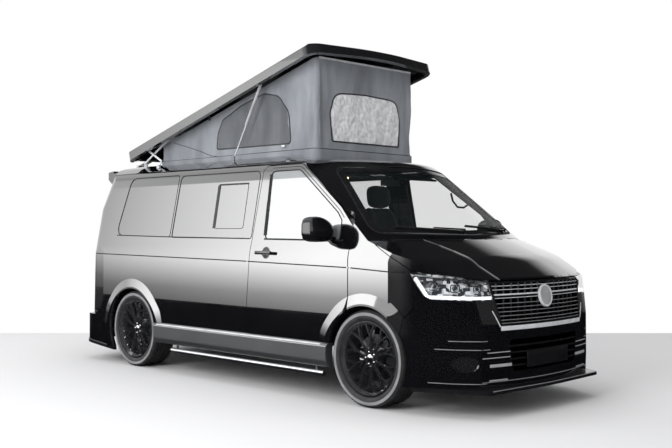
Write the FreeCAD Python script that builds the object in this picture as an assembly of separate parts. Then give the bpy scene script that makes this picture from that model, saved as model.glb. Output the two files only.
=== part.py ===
# Camper van with a raised pop-top roof, as separate sub-components.
# Millimetres, +X forward, +Y left, +Z up; origin on the ground under the middle of the van.
import FreeCAD, Part
import math, os
from FreeCAD import Vector

os.makedirs("parts", exist_ok=True)

# ---------------------------------------------------------------- driving sizes
FRONT_AXLE, REAR_AXLE = 1532.0, -1468.0   # wheelbase 3000
WHEEL_Y = 814.0                           # tyre centre plane
TYRE_R, RIM_R = 352.0, 268.0
ARCH_R = 380.0
SEAM_Z = 1815.0                           # roof panel meets the body sides here
BELT_Z = 1150.0
WALL, UPPER_WALL, SKIN = 90.0, 45.0, 25.0
SHUT = 6.0                                # shut gap between panels
SEAT = 0.3                                # gap of a seated piece
FLOOR_Z = (400.0, 430.0)
KING_Y = 735.0                            # steering axis
DOOR_AXIS = (1325.0, 908.0)
DOOR_EDGE_R = 58.0                        # the door's leading edge is round about its hinge
BONNET_AXIS = (1578.0, 1190.0)
TAIL_AXIS = (-2186.0, 1885.0)
ROOF_POLE = (-2140.0, 1925.0)             # hinge of the pop-top
ROOF_OPEN = 15.34                         # degrees it stands open
RIM_Z = 1881.0                            # underside of the pop-top's rim when shut

# ---------------------------------------------------------------- outline helpers
def XY(z):
    return lambda u, v: Vector(u, v, z)


def XZ(y):
    return lambda u, v: Vector(u, y, v)


def YZ(x):
    return lambda u, v: Vector(x, u, v)


def rounded_face(points, place):
    """Face of a closed outline of (u, v) or (u, v, corner radius) points."""
    pts = [(p[0], p[1], p[2] if len(p) > 2 else 0.0) for p in points]
    runs = []
    for i, (u, v, r) in enumerate(pts):
        pu, pv, _ = pts[i - 1]
        nu, nv, _ = pts[(i + 1) % len(pts)]
        a, b = math.hypot(pu - u, pv - v), math.hypot(nu - u, nv - v)
        d0, d1 = ((pu - u) / a, (pv - v) / a), ((nu - u) / b, (nv - v) / b)
        dot = max(-1.0, min(1.0, d0[0] * d1[0] + d0[1] * d1[1]))
        turn = math.pi - math.acos(dot)
        if r <= 0.0 or turn < 1e-3:
            runs.append([(u, v)])
            continue
        t = min(r * math.tan(turn / 2), 0.49 * a, 0.49 * b)
        rr = t / math.tan(turn / 2)
        mx, my = d0[0] + d1[0], d0[1] + d1[1]
        m = math.hypot(mx, my)
        reach = rr / math.cos(turn / 2) - rr
        runs.append([(u + d0[0] * t, v + d0[1] * t),
                     (u + mx / m * reach, v + my / m * reach),
                     (u + d1[0] * t, v + d1[1] * t)])
    edges = []
    for i, run in enumerate(runs):
        if len(run) == 3:
            edges.append(Part.Arc(*[place(*q) for q in run]).toShape())
        p, q = place(*run[-1]), place(*runs[(i + 1) % len(runs)][0])
        if p.distanceToPoint(q) > 1e-5:
            edges.append(Part.makeLine(p, q))
    return Part.Face(Part.Wire(edges))


def prism_x(points, x0, x1):
    return rounded_face(points, YZ(x0)).extrude(Vector(x1 - x0, 0, 0))


def prism_y(points, y0, y1):
    return rounded_face(points, XZ(y0)).extrude(Vector(0, y1 - y0, 0))


def prism_z(points, z0, z1):
    return rounded_face(points, XY(z0)).extrude(Vector(0, 0, z1 - z0))


def inset(points, d):
    """Closed outline with every edge moved inward by d."""
    pts = [(p[0], p[1], p[2] if len(p) > 2 else 0.0) for p in points]
    area = sum(pts[i - 1][0] * pts[i][1] - pts[i][0] * pts[i - 1][1] for i in range(len(pts)))
    side = 1.0 if area > 0 else -1.0
    out = []
    for i, (u, v, r) in enumerate(pts):
        pu, pv, _ = pts[i - 1]
        nu, nv, _ = pts[(i + 1) % len(pts)]
        a, b = math.hypot(u - pu, v - pv), math.hypot(nu - u, nv - v)
        e0, e1 = ((u - pu) / a, (v - pv) / a), ((nu - u) / b, (nv - v) / b)
        n0, n1 = (-e0[1] * side, e0[0] * side), (-e1[1] * side, e1[0] * side)
        k = 1.0 + n0[0] * n1[0] + n0[1] * n1[1]
        convex = (e0[0] * e1[1] - e0[1] * e1[0]) * side > 0
        radius = max(r - d, 2.0) if convex else r + d
        out.append((u + d * (n0[0] + n1[0]) / k, v + d * (n0[1] + n1[1]) / k,
                    radius if r > 0 else 0.0))
    return out


def both_sides(points):
    """Outline given for +v, closed by its mirror image."""
    return list(points) + [(p[0], -p[1]) + tuple(p[2:]) for p in reversed(points) if p[1] > 0]


def box(x0, x1, y0, y1, z0, z1):
    return Part.makeBox(x1 - x0, y1 - y0, z1 - z0, Vector(x0, y0, z0))


def rod(p, q, r):
    p, q = Vector(*p), Vector(*q)
    return Part.makeCylinder(r, p.distanceToPoint(q), p, q - p)


def mirrored(shape):
    return shape.mirror(Vector(0, 0, 0), Vector(0, 1, 0))


def pair(shape):
    return [shape, mirrored(shape)]


def solids(*shapes):
    out = []
    for s in shapes:
        out += solids(*s) if isinstance(s, (list, tuple)) else s.Solids
    return out


def fused(*shapes):
    flat = solids(*shapes)
    return flat[0].multiFuse(flat[1:]).removeSplitter() if len(flat) > 1 else flat[0]


def big(shapes, least=20000.0):
    return [s for s in solids(shapes) if s.Volume > least]


def spun_y(points, y):
    """Solid turned about a Y axis from (radius, y) points."""
    face = Part.Face(Part.makePolygon([Vector(0, p[1] + y, p[0]) for p in points]
                                      + [Vector(0, points[0][1] + y, points[0][0])]))
    return face.revolve(Vector(0, 0, 0), Vector(0, 1, 0), 360)


def placed(shape, x, y, z=TYRE_R):
    s = shape.copy()
    s.translate(Vector(x, y, z))
    return s


def node(name, *shapes):
    parts = solids(*shapes)
    shape = parts[0] if len(parts) == 1 else Part.makeCompound(parts)
    shape.exportStep("parts/%s.step" % name)


# ---------------------------------------------------------------- body form
# Cross-section (y, z, radius), plan (x, y, radius) and the two ends' profiles (x, z, radius).
SECTION_HALF = [(936, 100), (953, 640, 900), (953, 1085, 500), (826, 1800, 110),
                (600, 1905, 500), (0, 1937, 3000)]
SECTION = SECTION_HALF + [(-p[0],) + p[1:] for p in reversed(SECTION_HALF[:-1])]
PLAN = both_sides([(2475, 560, 150), (2225, 775, 420), (1830, 958, 700), (-1900, 958, 2000),
                   (-2520, 915)])
NOSE_X, TAIL_X = -55.0, 1540.0            # the ends' profiles are turned about these axes
NOSE = [(NOSE_X, 60), (2430, 60), (2446, 330, 200), (2444, 640, 200), (2400, 922, 60),
        (2150, 1062, 700), (1800, 1197, 40), (1070, 1826, 160), (420, 1925, 900),
        (0, 1945), (NOSE_X, 1945)]
TAIL = [(TAIL_X, 60), (-2450, 60), (-2461, 290, 200), (-2455, 440, 20), (-2365, 476, 10),
        (-2343, 1060, 500), (-2310, 1480, 900), (-2222, 1800, 150), (-2160, 1888, 60),
        (-1000, 1945), (TAIL_X, 1945)]
# Rear corner: circles (z, x, y, radius) joined upwards, bumper first.
CORNER = [[(0, -2208, 756, 180), (452, -2208, 756, 180)],
          [(452, -2091, 748, 200), (1060, -2069, 748, 200), (1480, -2039, 675, 210),
           (1800, -1884, 528, 300), (1960, -1806, 454, 345)]]


def ring_at(z, x, y, r):
    return Part.Wire(Part.makeCircle(r, Vector(x, -y, z)))


def quadrant_at(z, x, y):
    pts = [Vector(-2800, -1300, z), Vector(x, -1300, z), Vector(x, -y, z), Vector(-2800, -y, z)]
    return Part.makePolygon(pts + pts[:1])


def corner_scrap(d):
    """What the rounded rear right corner leaves out."""
    out = []
    for run in CORNER:
        for (z0, x0, y0, r0), (z1, x1, y1, r1) in zip(run, run[1:]):
            block = Part.makeLoft([quadrant_at(z0, x0, y0), quadrant_at(z1, x1, y1)], True, True)
            core = Part.makeLoft([ring_at(z0, x0, y0, r0 - d), ring_at(z1, x1, y1, r1 - d)],
                                 True, True)
            out.append(block.cut(core))
    return out


FORMS = {}


def body_form(d):
    """Solid inside the outer skin moved inward by d."""
    if d in FORMS:
        return FORMS[d]
    form = prism_x(inset(SECTION, d), -2600, 2600).common(prism_z(inset(PLAN, d), 0, 2300))
    for profile, axis, far in ((NOSE, NOSE_X, -2700), (TAIL, TAIL_X, 2700)):
        pts = inset(profile, d)
        pts[0] = (axis, pts[0][1], 0)
        pts[-1] = (axis, pts[-1][1], 0)
        face = rounded_face(pts, XZ(0))
        face.rotate(Vector(axis, 0, 0), Vector(0, 0, 1), -90)
        end = face.revolve(Vector(axis, 0, 0), Vector(0, 0, 1), 180)
        rest = box(min(axis, far), max(axis, far), -1300, 1300, 0, 1945 - d)
        form = form.common(end.fuse(rest))
    scrap = corner_scrap(d)
    FORMS[d] = form.cut(scrap + [mirrored(s) for s in scrap])
    return FORMS[d]


SKIN0 = body_form(0)
IN25, IN45, IN90 = body_form(SKIN), body_form(UPPER_WALL), body_form(WALL)
LOW = box(-2700, 2700, -1300, 1300, 0, BELT_Z)
CAVITY = IN90.common(LOW).fuse(IN45.cut(LOW))
GLASS = body_form(2).cut(body_form(8))

# wheel arch flares and the crease along the flanks
ARCHES = [rod((x, -1300, TYRE_R), (x, 1300, TYRE_R), ARCH_R) for x in (FRONT_AXLE, REAR_AXLE)]
FLARE = [(200, -1010), (388, -968), (484, -950), (484, -700), (200, -700)]
flares = [placed(spun_y(FLARE, 0), x, 0).common(body_form(-14)) for x in (FRONT_AXLE, REAR_AXLE)]
CREASE = [(-2290, 1053), (130, 1027), (1370, 1005), (1918, 979), (1918, 970), (1370, 996),
          (130, 1018), (-2290, 1044)]
groove = prism_y(CREASE, -1300, 1300).common(SKIN0.cut(body_form(5)))
OUTER = SKIN0.fuse(flares + [mirrored(f) for f in flares]).cut(groove)
WALLS = OUTER.cut(CAVITY)
THIN = OUTER.cut(IN25)

# ---------------------------------------------------------------- side openings (x, z, radius)
DOOR = [(212, 442, 30), (216, 666, 0), (262, 1180, 60), (296, 1792, 60), (752, 1792, 120),
        (1236, 1446, 40), (1440, 1245, 0), (1440, 442, 0)]
DOOR_WINDOW = [(420, 1205, 40), (388, 1746, 60), (735, 1746, 90), (1212, 1404, 60), (1262, 1345, 30),
               (1262, 1200, 30)]
CORNER_WINDOW = [(1396, 1176, 12), (1396, 1230, 12), (1452, 1176, 12)]
MID_WINDOW = [(-866, 1210, 30), (-846, 1758, 60), (258, 1758, 60), (246, 1205, 30)]
QUARTER_WINDOW = [(-1784, 1228, 90), (-1650, 1766, 110), (-874, 1766, 30), (-894, 1215, 30)]
QUARTER_LEFT = [(-1784, 1228, 90), (-1650, 1766, 110), (-934, 1766, 30), (-954, 1215, 30)]
SLIDER = [(-905, 436 + SEAT, 30), (-896, 1180, 0), (-880, 1790, 50), (204, 1790, 50),
          (200, 1180, 60), (190, 436 + SEAT, 30)]
SLIDER_WINDOW = [(-846, 1210, 40), (-828, 1752, 50), (152, 1752, 50), (146, 1206, 40)]
SCREEN = [(-850, 1252, 60), (-664, 1762, 90), (0, 1786, 3000), (664, 1762, 90), (850, 1252, 60),
          (0, 1232, 4000)]
LAMP = [(-2600, 712), (-2600, 1040), (-2196, 1040, 20), (-2224, 712, 20)]
# Tailgate seen from behind (y, z, radius).
TAILGATE = [(785, 486, 40), (785, 1140, 60), (690, 1790, 0), (640, 1862, 60)]
TAILGATE += [(-p[0],) + p[1:] for p in reversed(TAILGATE)]
REAR_WINDOW = [(610, 1730, 90), (690, 1215, 60), (-690, 1215, 60), (-610, 1730, 90)]


def side(points, grow=0.0):
    """Prism of a side outline through the right wall (negative y)."""
    return prism_y(inset(points, -grow), -1300, -400)


def tail_gate(grow):
    return prism_x(inset(TAILGATE, -grow), -2700, -2060)


# ---------------------------------------------------------------- doors
def upright(r, z0, z1):
    return rod((DOOR_AXIS[0], -DOOR_AXIS[1], z0), (DOOR_AXIS[0], -DOOR_AXIS[1], z1), r)


behind = box(-100, DOOR_AXIS[0], -1300, 0, 0, 2200)
STEER_ROOM = rod((FRONT_AXLE, -900, TYRE_R), (FRONT_AXLE, -600, TYRE_R), ARCH_R + 14)
door_gap = side(DOOR, SHUT).common(behind).fuse(upright(DOOR_EDGE_R + SHUT, 660, 1446))
handle = fused(prism_y([(356, 1081, 12), (356, 1107, 12), (546, 1107, 12), (546, 1081, 12)], -988, -974),
               [box(x, x + 26, -976, -945, 1086, 1102) for x in (362, 514)])
door_r = WALLS.common(side(DOOR).common(upright(DOOR_EDGE_R, 0, 2200).fuse(behind)))
door_r = door_r.cut([side(DOOR_WINDOW), ARCHES[0], STEER_ROOM])
door_r = fused(big(door_r), handle)
door_glass_r = GLASS.common(side(DOOR_WINDOW, -SEAT))
node("door_right", door_r)
node("door_left", mirrored(door_r))
node("door_glass_right", door_glass_r)
node("door_glass_left", mirrored(door_glass_r))

# body sides behind the doors
quarter = box(-2700, 300, -1300, 0, 436, SEAM_Z).cut(side(DOOR, SHUT))
rear_low = box(-2700, REAR_AXLE - 330, -1300, 1300, 100, 482)
side_r = WALLS.common(quarter).cut([tail_gate(SHUT), rear_low, ARCHES[1], side(LAMP)])
node("body_side_right", big(side_r.cut([side(MID_WINDOW), side(QUARTER_WINDOW)])))
node("body_side_left", big(mirrored(side_r.cut([side(SLIDER, SHUT), side(QUARTER_LEFT)]))))
slide_handle = placed(handle, -400, 0, 0)
slider = fused(big(WALLS.common(side(SLIDER)).cut(side(SLIDER_WINDOW))), slide_handle)
node("sliding_door", mirrored(slider))
node("side_windows", [GLASS.common(side(w, -SEAT)) for w in (MID_WINDOW, QUARTER_WINDOW)],
     [mirrored(GLASS.common(side(w, -SEAT))) for w in (QUARTER_LEFT, SLIDER_WINDOW)],
     pair(GLASS.common(side(CORNER_WINDOW, -SEAT))))
tail_lamp = SKIN0.common(side(LAMP, -SEAT)).cut(tail_gate(SHUT)).cut(IN45)
node("tail_lamps", [big(s, 500) for s in pair(tail_lamp)])

# ---------------------------------------------------------------- bonnet, windscreen and its frame
# Side outline of the bonnet (x, z, radius); its rear edge follows the foot of the windscreen.
BONNET = [(1625, 1400), (1625, 1173, 10), (1661, 1154, 0), (1856, 1049, 0), (1929, 999, 40),
          (1997, 981, 60), (2200, 961, 300), (2322, 928, 60), (2600, 924), (2600, 1400)]
DOME = both_sides([(2600, 440), (2190, 466, 40), (2081, 440, 200), (1960, 455, 200),
                   (1842, 482, 200), (1716, 524, 100), (1560, 610)])
FOOT_R = 1848.0                           # plan radius of the bonnet's rear edge


def bonnet_zone(grow):
    return prism_y(inset(BONNET, -grow), -1300, 1300).cut(
        rod((NOSE_X, 0, 0), (NOSE_X, 0, 2300), FOOT_R - grow))


bonnet = SKIN0.cut(body_form(22)).common(bonnet_zone(0))
dome = body_form(-7).cut(body_form(22)).common(bonnet_zone(0)).common(prism_z(DOME, 800, 1300))
bx, bz = BONNET_AXIS
hinge_arm = box(bx, 1640, 842, 858, bz - 4, bz + 4).common(SKIN0)
barrel = rod((bx, 835, bz), (bx, 865, bz), 7)
pocket = rod((bx, 834, bz), (bx, 866, bz), 7 + SEAT).fuse(box(bx, 1627, 841, 859, bz - 9, bz + 60))
node("bonnet", big(fused(bonnet, dome, pair(hinge_arm), pair(barrel))))

node("windscreen", GLASS.common(prism_x(inset(SCREEN, SEAT), 500, 2200)))
screen_hole = prism_x(SCREEN, 500, 2200)
SCUTTLE = [(300, 900), (1592, 900), (1592, 1145), (1805, 1176), (1805, 1300), (1000, 1900), (300, 1900)]
frame = WALLS.common(box(300, 2000, -1300, 1300, BELT_Z, SEAM_Z)).common(prism_y(SCUTTLE, -1300, 1300))
openings = [door_gap, side(DOOR, SHUT).common(behind), side(CORNER_WINDOW), mirrored(pocket)]
frame = frame.cut([screen_hole, bonnet_zone(SHUT)] + openings + [mirrored(s) for s in openings])
node("pillar_frame", big(frame))

# roof panel with its hatch and the tailgate's hinge lugs
HATCH = [(-1480, 530, 60), (-1480, -530, 60), (560, -530, 60), (560, 530, 60)]
roof = WALLS.common(box(-2700, 1500, -1300, 1300, SEAM_Z, 2000))
roof = roof.cut([screen_hole, prism_z(HATCH, 1700, 2000), tail_gate(SHUT)])
ax, az = TAIL_AXIS
lug = fused(rod((ax, 470 + SEAT, az), (ax, 490, az), 9), box(ax, -2100, 470 + SEAT, 490, az - 8, az + 6))
node("roof_panel", fused(big(roof), pair(lug)))

# tailgate, its window and spoiler
inner = body_form(60)
gate = SKIN0.cut([inner, placed(inner, 0, 0, 60)]).common(tail_gate(0))
gate = gate.cut(prism_x(REAR_WINDOW, -2700, -2060))
gate_lug = fused(rod((ax, 430, az), (ax, 470, az), 9), box(ax - 14, ax + 6, 430, 470, 1850, az),
                 box(ax - 14, -2140, 430, 470, 1846, 1862))
node("tailgate", fused(big(gate), pair(gate_lug)))
node("tailgate_window", GLASS.common(prism_x(inset(REAR_WINDOW, SEAT), -2700, -2060)))
WING = [(-2202, 1868, 0), (-2400, 1848, 8), (-2400, 1834, 8), (-2290, 1800, 60), (-2202, 1770, 0)]
WING_END = [(-2120, 1846, 20), (-2320, 1846, 20), (-2322, 1800, 60), (-2200, 1716, 20), (-2120, 1712, 10)]
WING_PLAN = both_sides([(-2100, 698, 0), (-2318, 698, 60), (-2400, 560, 200)])
spoiler = prism_y(WING, -698, 698).cut(SKIN0)
ends = [prism_y(WING_END, y0, y0 + 28) for y0 in (-698, 670)]
spoiler = fused(spoiler, ends).common(prism_z(WING_PLAN, 1600, 1900)).cut(SKIN0)
spoiler = spoiler.cut([body_form(-SHUT).cut(box(-2700, 0, -640, 640, 0, 2000)),
                       box(ax - 20, ax + 20, 425, 495, 1840, 1900),
                       box(ax - 20, ax + 20, -495, -425, 1840, 1900)])
node("spoiler", big(spoiler, 50000))

# ---------------------------------------------------------------- lamps, grille, wings and bumpers
HEADLAMP = [(1921, 974, 6), (1996, 974, 60), (2199, 954, 300), (2326, 921, 60), (2600, 917),
            (2600, 786), (2062, 800, 30), (2018, 822, 20)]
GRILLE = [(-566, 917, 20), (566, 917, 20), (505, 612, 20), (-505, 612, 20)]
grille_zone = prism_x(GRILLE, 2100, 2600)
grille_gap = prism_x(inset(GRILLE, -SHUT), 2100, 2600)
lamp_zone = prism_y(HEADLAMP, -1300, -500).cut(grille_gap)
lamp_seat = prism_y(inset(HEADLAMP, SEAT), -1300, -500).cut(grille_gap)
lens = lamp_seat.common(SKIN0.cut(body_form(6))).cut(bonnet_zone(SHUT))
FOG = (735.0, 364.0, 58.0)                # y, z, radius
fog_hole = rod((2000, -FOG[0], FOG[1]), (2600, -FOG[0], FOG[1]), FOG[2])
fog_bore = rod((2000, -FOG[0], FOG[1]), (2600, -FOG[0], FOG[1]), FOG[2] - SEAT)
fog_lens = fog_bore.common(body_form(8).cut(body_form(14)))
node("headlamp_lenses", [big(s, 500) for s in pair(lens)], pair(fog_lens))
bowl = lamp_seat.common(body_form(14).cut(body_form(70)))
bowl = bowl.cut(prism_y(inset(HEADLAMP, 9), -1300, -400).cut(prism_x(inset(GRILLE, -15), 2100, 2600))
                .cut(body_form(60))).cut(bonnet_zone(SHUT))
fog_bowl = fog_bore.common(body_form(22).cut(body_form(32)))
node("headlamps", [big(s, 500) for s in pair(bowl)], pair(fog_bowl))

WING_SIDE = [(1040, 436), (1040, 700), (1290, 1160), (1500, 1215), (1900, 1215), (2030, 900), (2016, 806),
             (1974, 768), (1886, 668), (1860, 560), (1860, 436)]
BUMPER = [(2600, 192), (2600, 900), (2040, 900), (2021, 808), (1979, 765), (1891, 665), (1866, 560),
          (1866, 192)]
wing = THIN.fuse(WALLS.common(rod((FRONT_AXLE, -1300, TYRE_R), (FRONT_AXLE, -600, TYRE_R), ARCH_R + 12)))
wing = wing.common(prism_y(WING_SIDE, -1300, -560))
wing = wing.cut([door_gap, side(DOOR, SHUT).common(behind), bonnet_zone(SHUT), ARCHES[0], lamp_zone, frame,
                 mirrored(pocket), box(DOOR_AXIS[0], 1371, -1300, -951, 600, 810)])
node("front_wings", [big(s) for s in pair(wing)])

INTAKE = [(-430, 520, 30), (430, 520, 30), (390, 300, 30), (-390, 300, 30)]
bumper = THIN.common(prism_y(BUMPER, -1300, 1300)).cut(
    [ARCHES[0], lamp_zone, mirrored(lamp_zone), prism_x(inset(GRILLE, -1), 2100, 2600), bonnet_zone(SHUT),
     prism_x(INTAKE, 2100, 2600), fog_hole, mirrored(fog_hole)])
node("front_bumper", big(bumper))

SLATS = [(886, 9), (860, 9), (816, 30), (766, 9), (738, 9), (710, 9), (682, 9), (654, 9), (632, 9)]
LOW_SLATS = [340, 385, 430, 475]
frame_ring = grille_zone.cut(prism_x(inset(GRILLE, 14), 2100, 2600)).common(THIN)
bar_form = body_form(4).cut(body_form(22))
slats = [box(2100, 2600, -570, 570, z - h / 2, z + h / 2).common(grille_zone).common(bar_form)
         for z, h in SLATS]
disc = rod((2300, 0, 816), (2500, 0, 816), 62).common(body_form(0).cut(body_form(22)))
low = [box(2100, 2600, -440, 440, z - 6, z + 6).common(prism_x(inset(INTAKE, SEAT), 2100, 2600)).common(bar_form)
       for z in LOW_SLATS]
node("grille", fused(frame_ring, slats, disc), low)

SPLITTER = both_sides([(1940, 925, 10), (2240, 800, 200), (2440, 690, 60), (2472, 60, 1500)])
splitter = prism_z(SPLITTER, 168, 192).cut(box(1900, 2300, -700, 700, 100, 300))
carrier = box(2290, 2320, -530, 530, 192, 890).cut(box(2290, 2320, -400, 400, 320, 780))
carrier = fused(carrier, [box(2290, 2460, y, y + 160, 450, 480) for y in (-680, 520)])
node("front_carrier", carrier.common(IN25))

# rear bumper, lips and sills
REAR_BUMPER = [(-2600, 224), (-1798, 154), (-1798, 478), (-2600, 478)]
REAR_LIP = [(-2600, 196), (-1798, 126), (-1798, 154), (-2600, 224)]
TAILPIPE = (-520.0, 268.0)
rear_b = THIN.common(prism_y(REAR_BUMPER, -1300, 1300)).cut(
    [ARCHES[1], rod((-2600,) + TAILPIPE, (-2300,) + TAILPIPE, 24)])
node("rear_bumper", big(rear_b))
rear_lip = body_form(-8).cut(IN25).common(prism_y(REAR_LIP, -1300, 1300)).cut(ARCHES[1])
node("bumper_lips", splitter.cut(ARCHES[0]), big(rear_lip))
SILL = [(-925, 436), (-950, 436), (-974, 414, 12), (-972, 300, 30), (-948, 256, 20), (-900, 250),
        (-900, 436)]
skirt = prism_x(SILL, -1200, 1300).cut(ARCHES)
node("side_skirts", pair(skirt))
bar = fused(rod((-856, -925, 205), (1096, -925, 205), 21),
            [rod((x, -925, 205), (x, -925, 270), 12) for x in (-780, 1020)])
node("side_bars", pair(bar.cut(skirt)))

# ---------------------------------------------------------------- floor, wheel wells, bulkhead
well_r = rod((REAR_AXLE, -1300, TYRE_R), (REAR_AXLE, -560, TYRE_R), 400)
well_in = rod((REAR_AXLE, -1300, TYRE_R), (REAR_AXLE, -570, TYRE_R), 390)
floor = box(-2400, 1080, -900, 900, *FLOOR_Z).common(IN90)
floor = floor.fuse(box(-2440, -2300, -700, 700, FLOOR_Z[0], 470).common(IN25))
tubs = [well_r.cut(box(-3000, 3000, -2000, 2000, 0, FLOOR_Z[0])).common(IN90)]
floor = floor.fuse(tubs[0]).fuse(mirrored(tubs[0]))
floor = floor.cut(well_in).cut(mirrored(well_in))
node("floor_pan", big(floor.removeSplitter()))
well_f = rod((FRONT_AXLE, -1300, TYRE_R), (FRONT_AXLE, -470, TYRE_R), 440)
liner = well_f.cut(rod((FRONT_AXLE, -1300, TYRE_R), (FRONT_AXLE, -480, TYRE_R), 430))
liner = liner.common(IN25).common(box(1060, 2000, -850, 0, 437, 800))
node("wheel_liners", pair(liner))
bulk = box(1480, 1500, -900, 900, 400, BELT_Z).common(IN90).cut(well_f).cut(mirrored(well_f))
toe = box(1080, 1500, -460, 460, *FLOOR_Z).fuse(box(1080, 1100, -900, 900, FLOOR_Z[0], 560).common(IN90))
node("bulkhead", fused(bulk, toe.cut(well_f).cut(mirrored(well_f))))
node("engine_block", box(1720, 2220, -300, 300, 300, 860))
PIPE = [(1700, -250, 345), (-1900, -250, 362), (-2200,) + TAILPIPE, (-2440,) + TAILPIPE]
node("exhaust", fused([rod(p, q, 18) for p, q in zip(PIPE, PIPE[1:])],
                      [Part.makeSphere(18, Vector(*p)) for p in PIPE[1:3]],
                      prism_y([(-1000, 300, 30), (-1000, 400, 30), (-500, 400, 30), (-500, 300, 30)], -380, -160)))

# ---------------------------------------------------------------- wheels
TYRE_HALF = [(RIM_R + 2 + SEAT, 100), (RIM_R + 22, 116), (300, 122), (334, 118), (TYRE_R - 4, 104),
             (TYRE_R, 90)]


def spoked_wheel():
    """Rim, ten forked spokes, hub and brake disc; outer face toward -y, centred on the tyre."""
    barrel = spun_y([(RIM_R + 2, -112), (RIM_R + 2, 112), (RIM_R - 8, 112), (RIM_R - 24, 90),
                     (RIM_R - 24, -86), (RIM_R - 6, -112)], 0)
    hub = rod((0, -74, 0), (0, -30, 0), 66)
    one = []
    for a0, a1, r0, r1 in ((0, 0, 55, 165), (0, -9, 158, RIM_R - 20), (0, 9, 158, RIM_R - 20)):
        t0, t1 = math.radians(a0), math.radians(a1)
        p, q = (r0 * math.sin(t0), r0 * math.cos(t0)), (r1 * math.sin(t1), r1 * math.cos(t1))
        n = math.hypot(q[0] - p[0], q[1] - p[1])
        s, c = (q[1] - p[1]) / n * 6, (q[0] - p[0]) / n * 6
        face = rounded_face([(p[0] - s, p[1] + c), (q[0] - s, q[1] + c), (q[0] + s, q[1] - c),
                             (p[0] + s, p[1] - c)], XZ(-84))
        one.append(face.extrude(Vector(0, 30, 0)))
    spokes = []
    for k in range(10):
        for s in one:
            t = s.copy()
            t.rotate(Vector(0, 0, 0), Vector(0, 1, 0), 36 * k)
            spokes.append(t)
    disc = rod((0, -10, 0), (0, 18, 0), 170)
    boss = rod((0, -31, 0), (0, -9, 0), 80)
    return fused(barrel, hub, boss, disc, spokes)


def tyre():
    half = TYRE_HALF
    pts = [(r, -y) for r, y in half] + [(r, y) for r, y in reversed(half)]
    return spun_y(pts, 0)


RIM, TYRE = spoked_wheel(), tyre()


for tag, x in (("front", FRONT_AXLE), ("rear", REAR_AXLE)):
    node("tyre_%s_right" % tag, placed(TYRE, x, -WHEEL_Y))
    node("tyre_%s_left" % tag, placed(TYRE, x, WHEEL_Y))
    node("rim_%s_right" % tag, placed(RIM, x, -WHEEL_Y))
    node("rim_%s_left" % tag, placed(mirrored(RIM), x, WHEEL_Y))


def knuckle(x):
    """Upright, stub and caliper inside the right wheel."""
    upright = rod((x, -KING_Y, TYRE_R - 110), (x, -KING_Y, TYRE_R + 110), 30)
    stub = rod((x, SEAT - 796, TYRE_R), (x, -710, TYRE_R), 50)
    caliper = box(x + 60, x + 215, -850, -745, TYRE_R - 80, TYRE_R + 80).cut(
        rod((x, -900, TYRE_R), (x, -700, TYRE_R), 120)).cut(
        rod((x, -830, TYRE_R), (x, -790, TYRE_R), 178))
    caliper = caliper.common(rod((x, -900, TYRE_R), (x, -700, TYRE_R), 225))
    arm = box(x + 30, x + 150, -765, -745, TYRE_R - 30, TYRE_R + 30)
    return fused(upright, stub, arm, caliper)


k = knuckle(FRONT_AXLE)
node("knuckle_right", k)
node("knuckle_left", mirrored(k))
rear_hub = knuckle(REAR_AXLE)
axle = [rear_hub, mirrored(rear_hub), rod((REAR_AXLE, -705, 290), (REAR_AXLE, 705, 290), 30),
        [box(REAR_AXLE, REAR_AXLE + 420, s * 520 - 30, s * 520 + 30, 275, 320) for s in (-1, 1)],
        [box(REAR_AXLE + 380, REAR_AXLE + 420, s * 520 - 30, s * 520 + 30, 275, 400) for s in (-1, 1)]]
subframe = [box(1400, 1900, -380, 380, 240, 300), [box(1400, 1440, s * 340 - 40, s * 340 + 40, 240, 400) for s in (-1, 1)],
            [rod((1532, s * 370, 258), (1532, s * KING_Y, 222), 16) for s in (-1, 1)],
            [rod((1532, s * KING_Y, 214), (1532, s * KING_Y, TYRE_R - 110 - SEAT), 24) for s in (-1, 1)]]
node("suspension", fused(axle), fused(subframe))

# ---------------------------------------------------------------- pop-top roof
def opened(shape):
    """Turn a shut pop-top piece up to its standing position."""
    s = shape.copy()
    s.rotate(Vector(ROOF_POLE[0], 0, ROOF_POLE[1]), Vector(0, 1, 0), -ROOF_OPEN)
    return s


def under_roof(x, lift=0.0):
    """Height of the raised rim's underside at x."""
    a = math.radians(ROOF_OPEN)
    return ROOF_POLE[1] + (x - ROOF_POLE[0]) * math.tan(a) + (RIM_Z - ROOF_POLE[1] + lift) / math.cos(a)


RIM_W, LID = 44.0, 26.0                   # the shell's rim and top thickness
SHELL_PLAN = both_sides([(872, 760, 130), (-1924, 735, 110)]) + [(960, 0, 2600)]
SHELL_SECTION = [(762, RIM_Z), (762, RIM_Z + 76, 40), (600, RIM_Z + 120, 300), (0, RIM_Z + 140, 3000),
                 (-600, RIM_Z + 120, 300), (-762, RIM_Z + 76, 40), (-762, RIM_Z)]
SHELL_SIDE = [(-1940, RIM_Z), (-1940, RIM_Z + 70, 60), (-1700, RIM_Z + 138, 400), (500, RIM_Z + 138, 900),
              (965, RIM_Z + 62, 60), (965, RIM_Z)]


def lowered(points, top, bottom):
    """Outline with its upper points brought down by top and its foot by bottom."""
    return [(p[0], p[1] - (top if p[1] > RIM_Z else bottom)) + tuple(p[2:]) for p in points]


def shell_form(wall, lid, foot):
    s = prism_z(inset(SHELL_PLAN, wall), RIM_Z - 20, RIM_Z + 200)
    return s.common(prism_x(lowered(SHELL_SECTION, lid, foot), -2100, 1100)).common(
        prism_y(lowered(SHELL_SIDE, lid, foot), -900, 900))


shell = shell_form(0, 0, 0).cut([shell_form(RIM_W, LID, 20), body_form(-7)])
px, pz = ROOF_POLE
straps = [fused(box(px, -1890, y - 25, y + 25, 1917, 1933), rod((px, y - 25, pz), (px, y + 25, pz), 9))
          for y in (-420, 420)]

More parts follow.
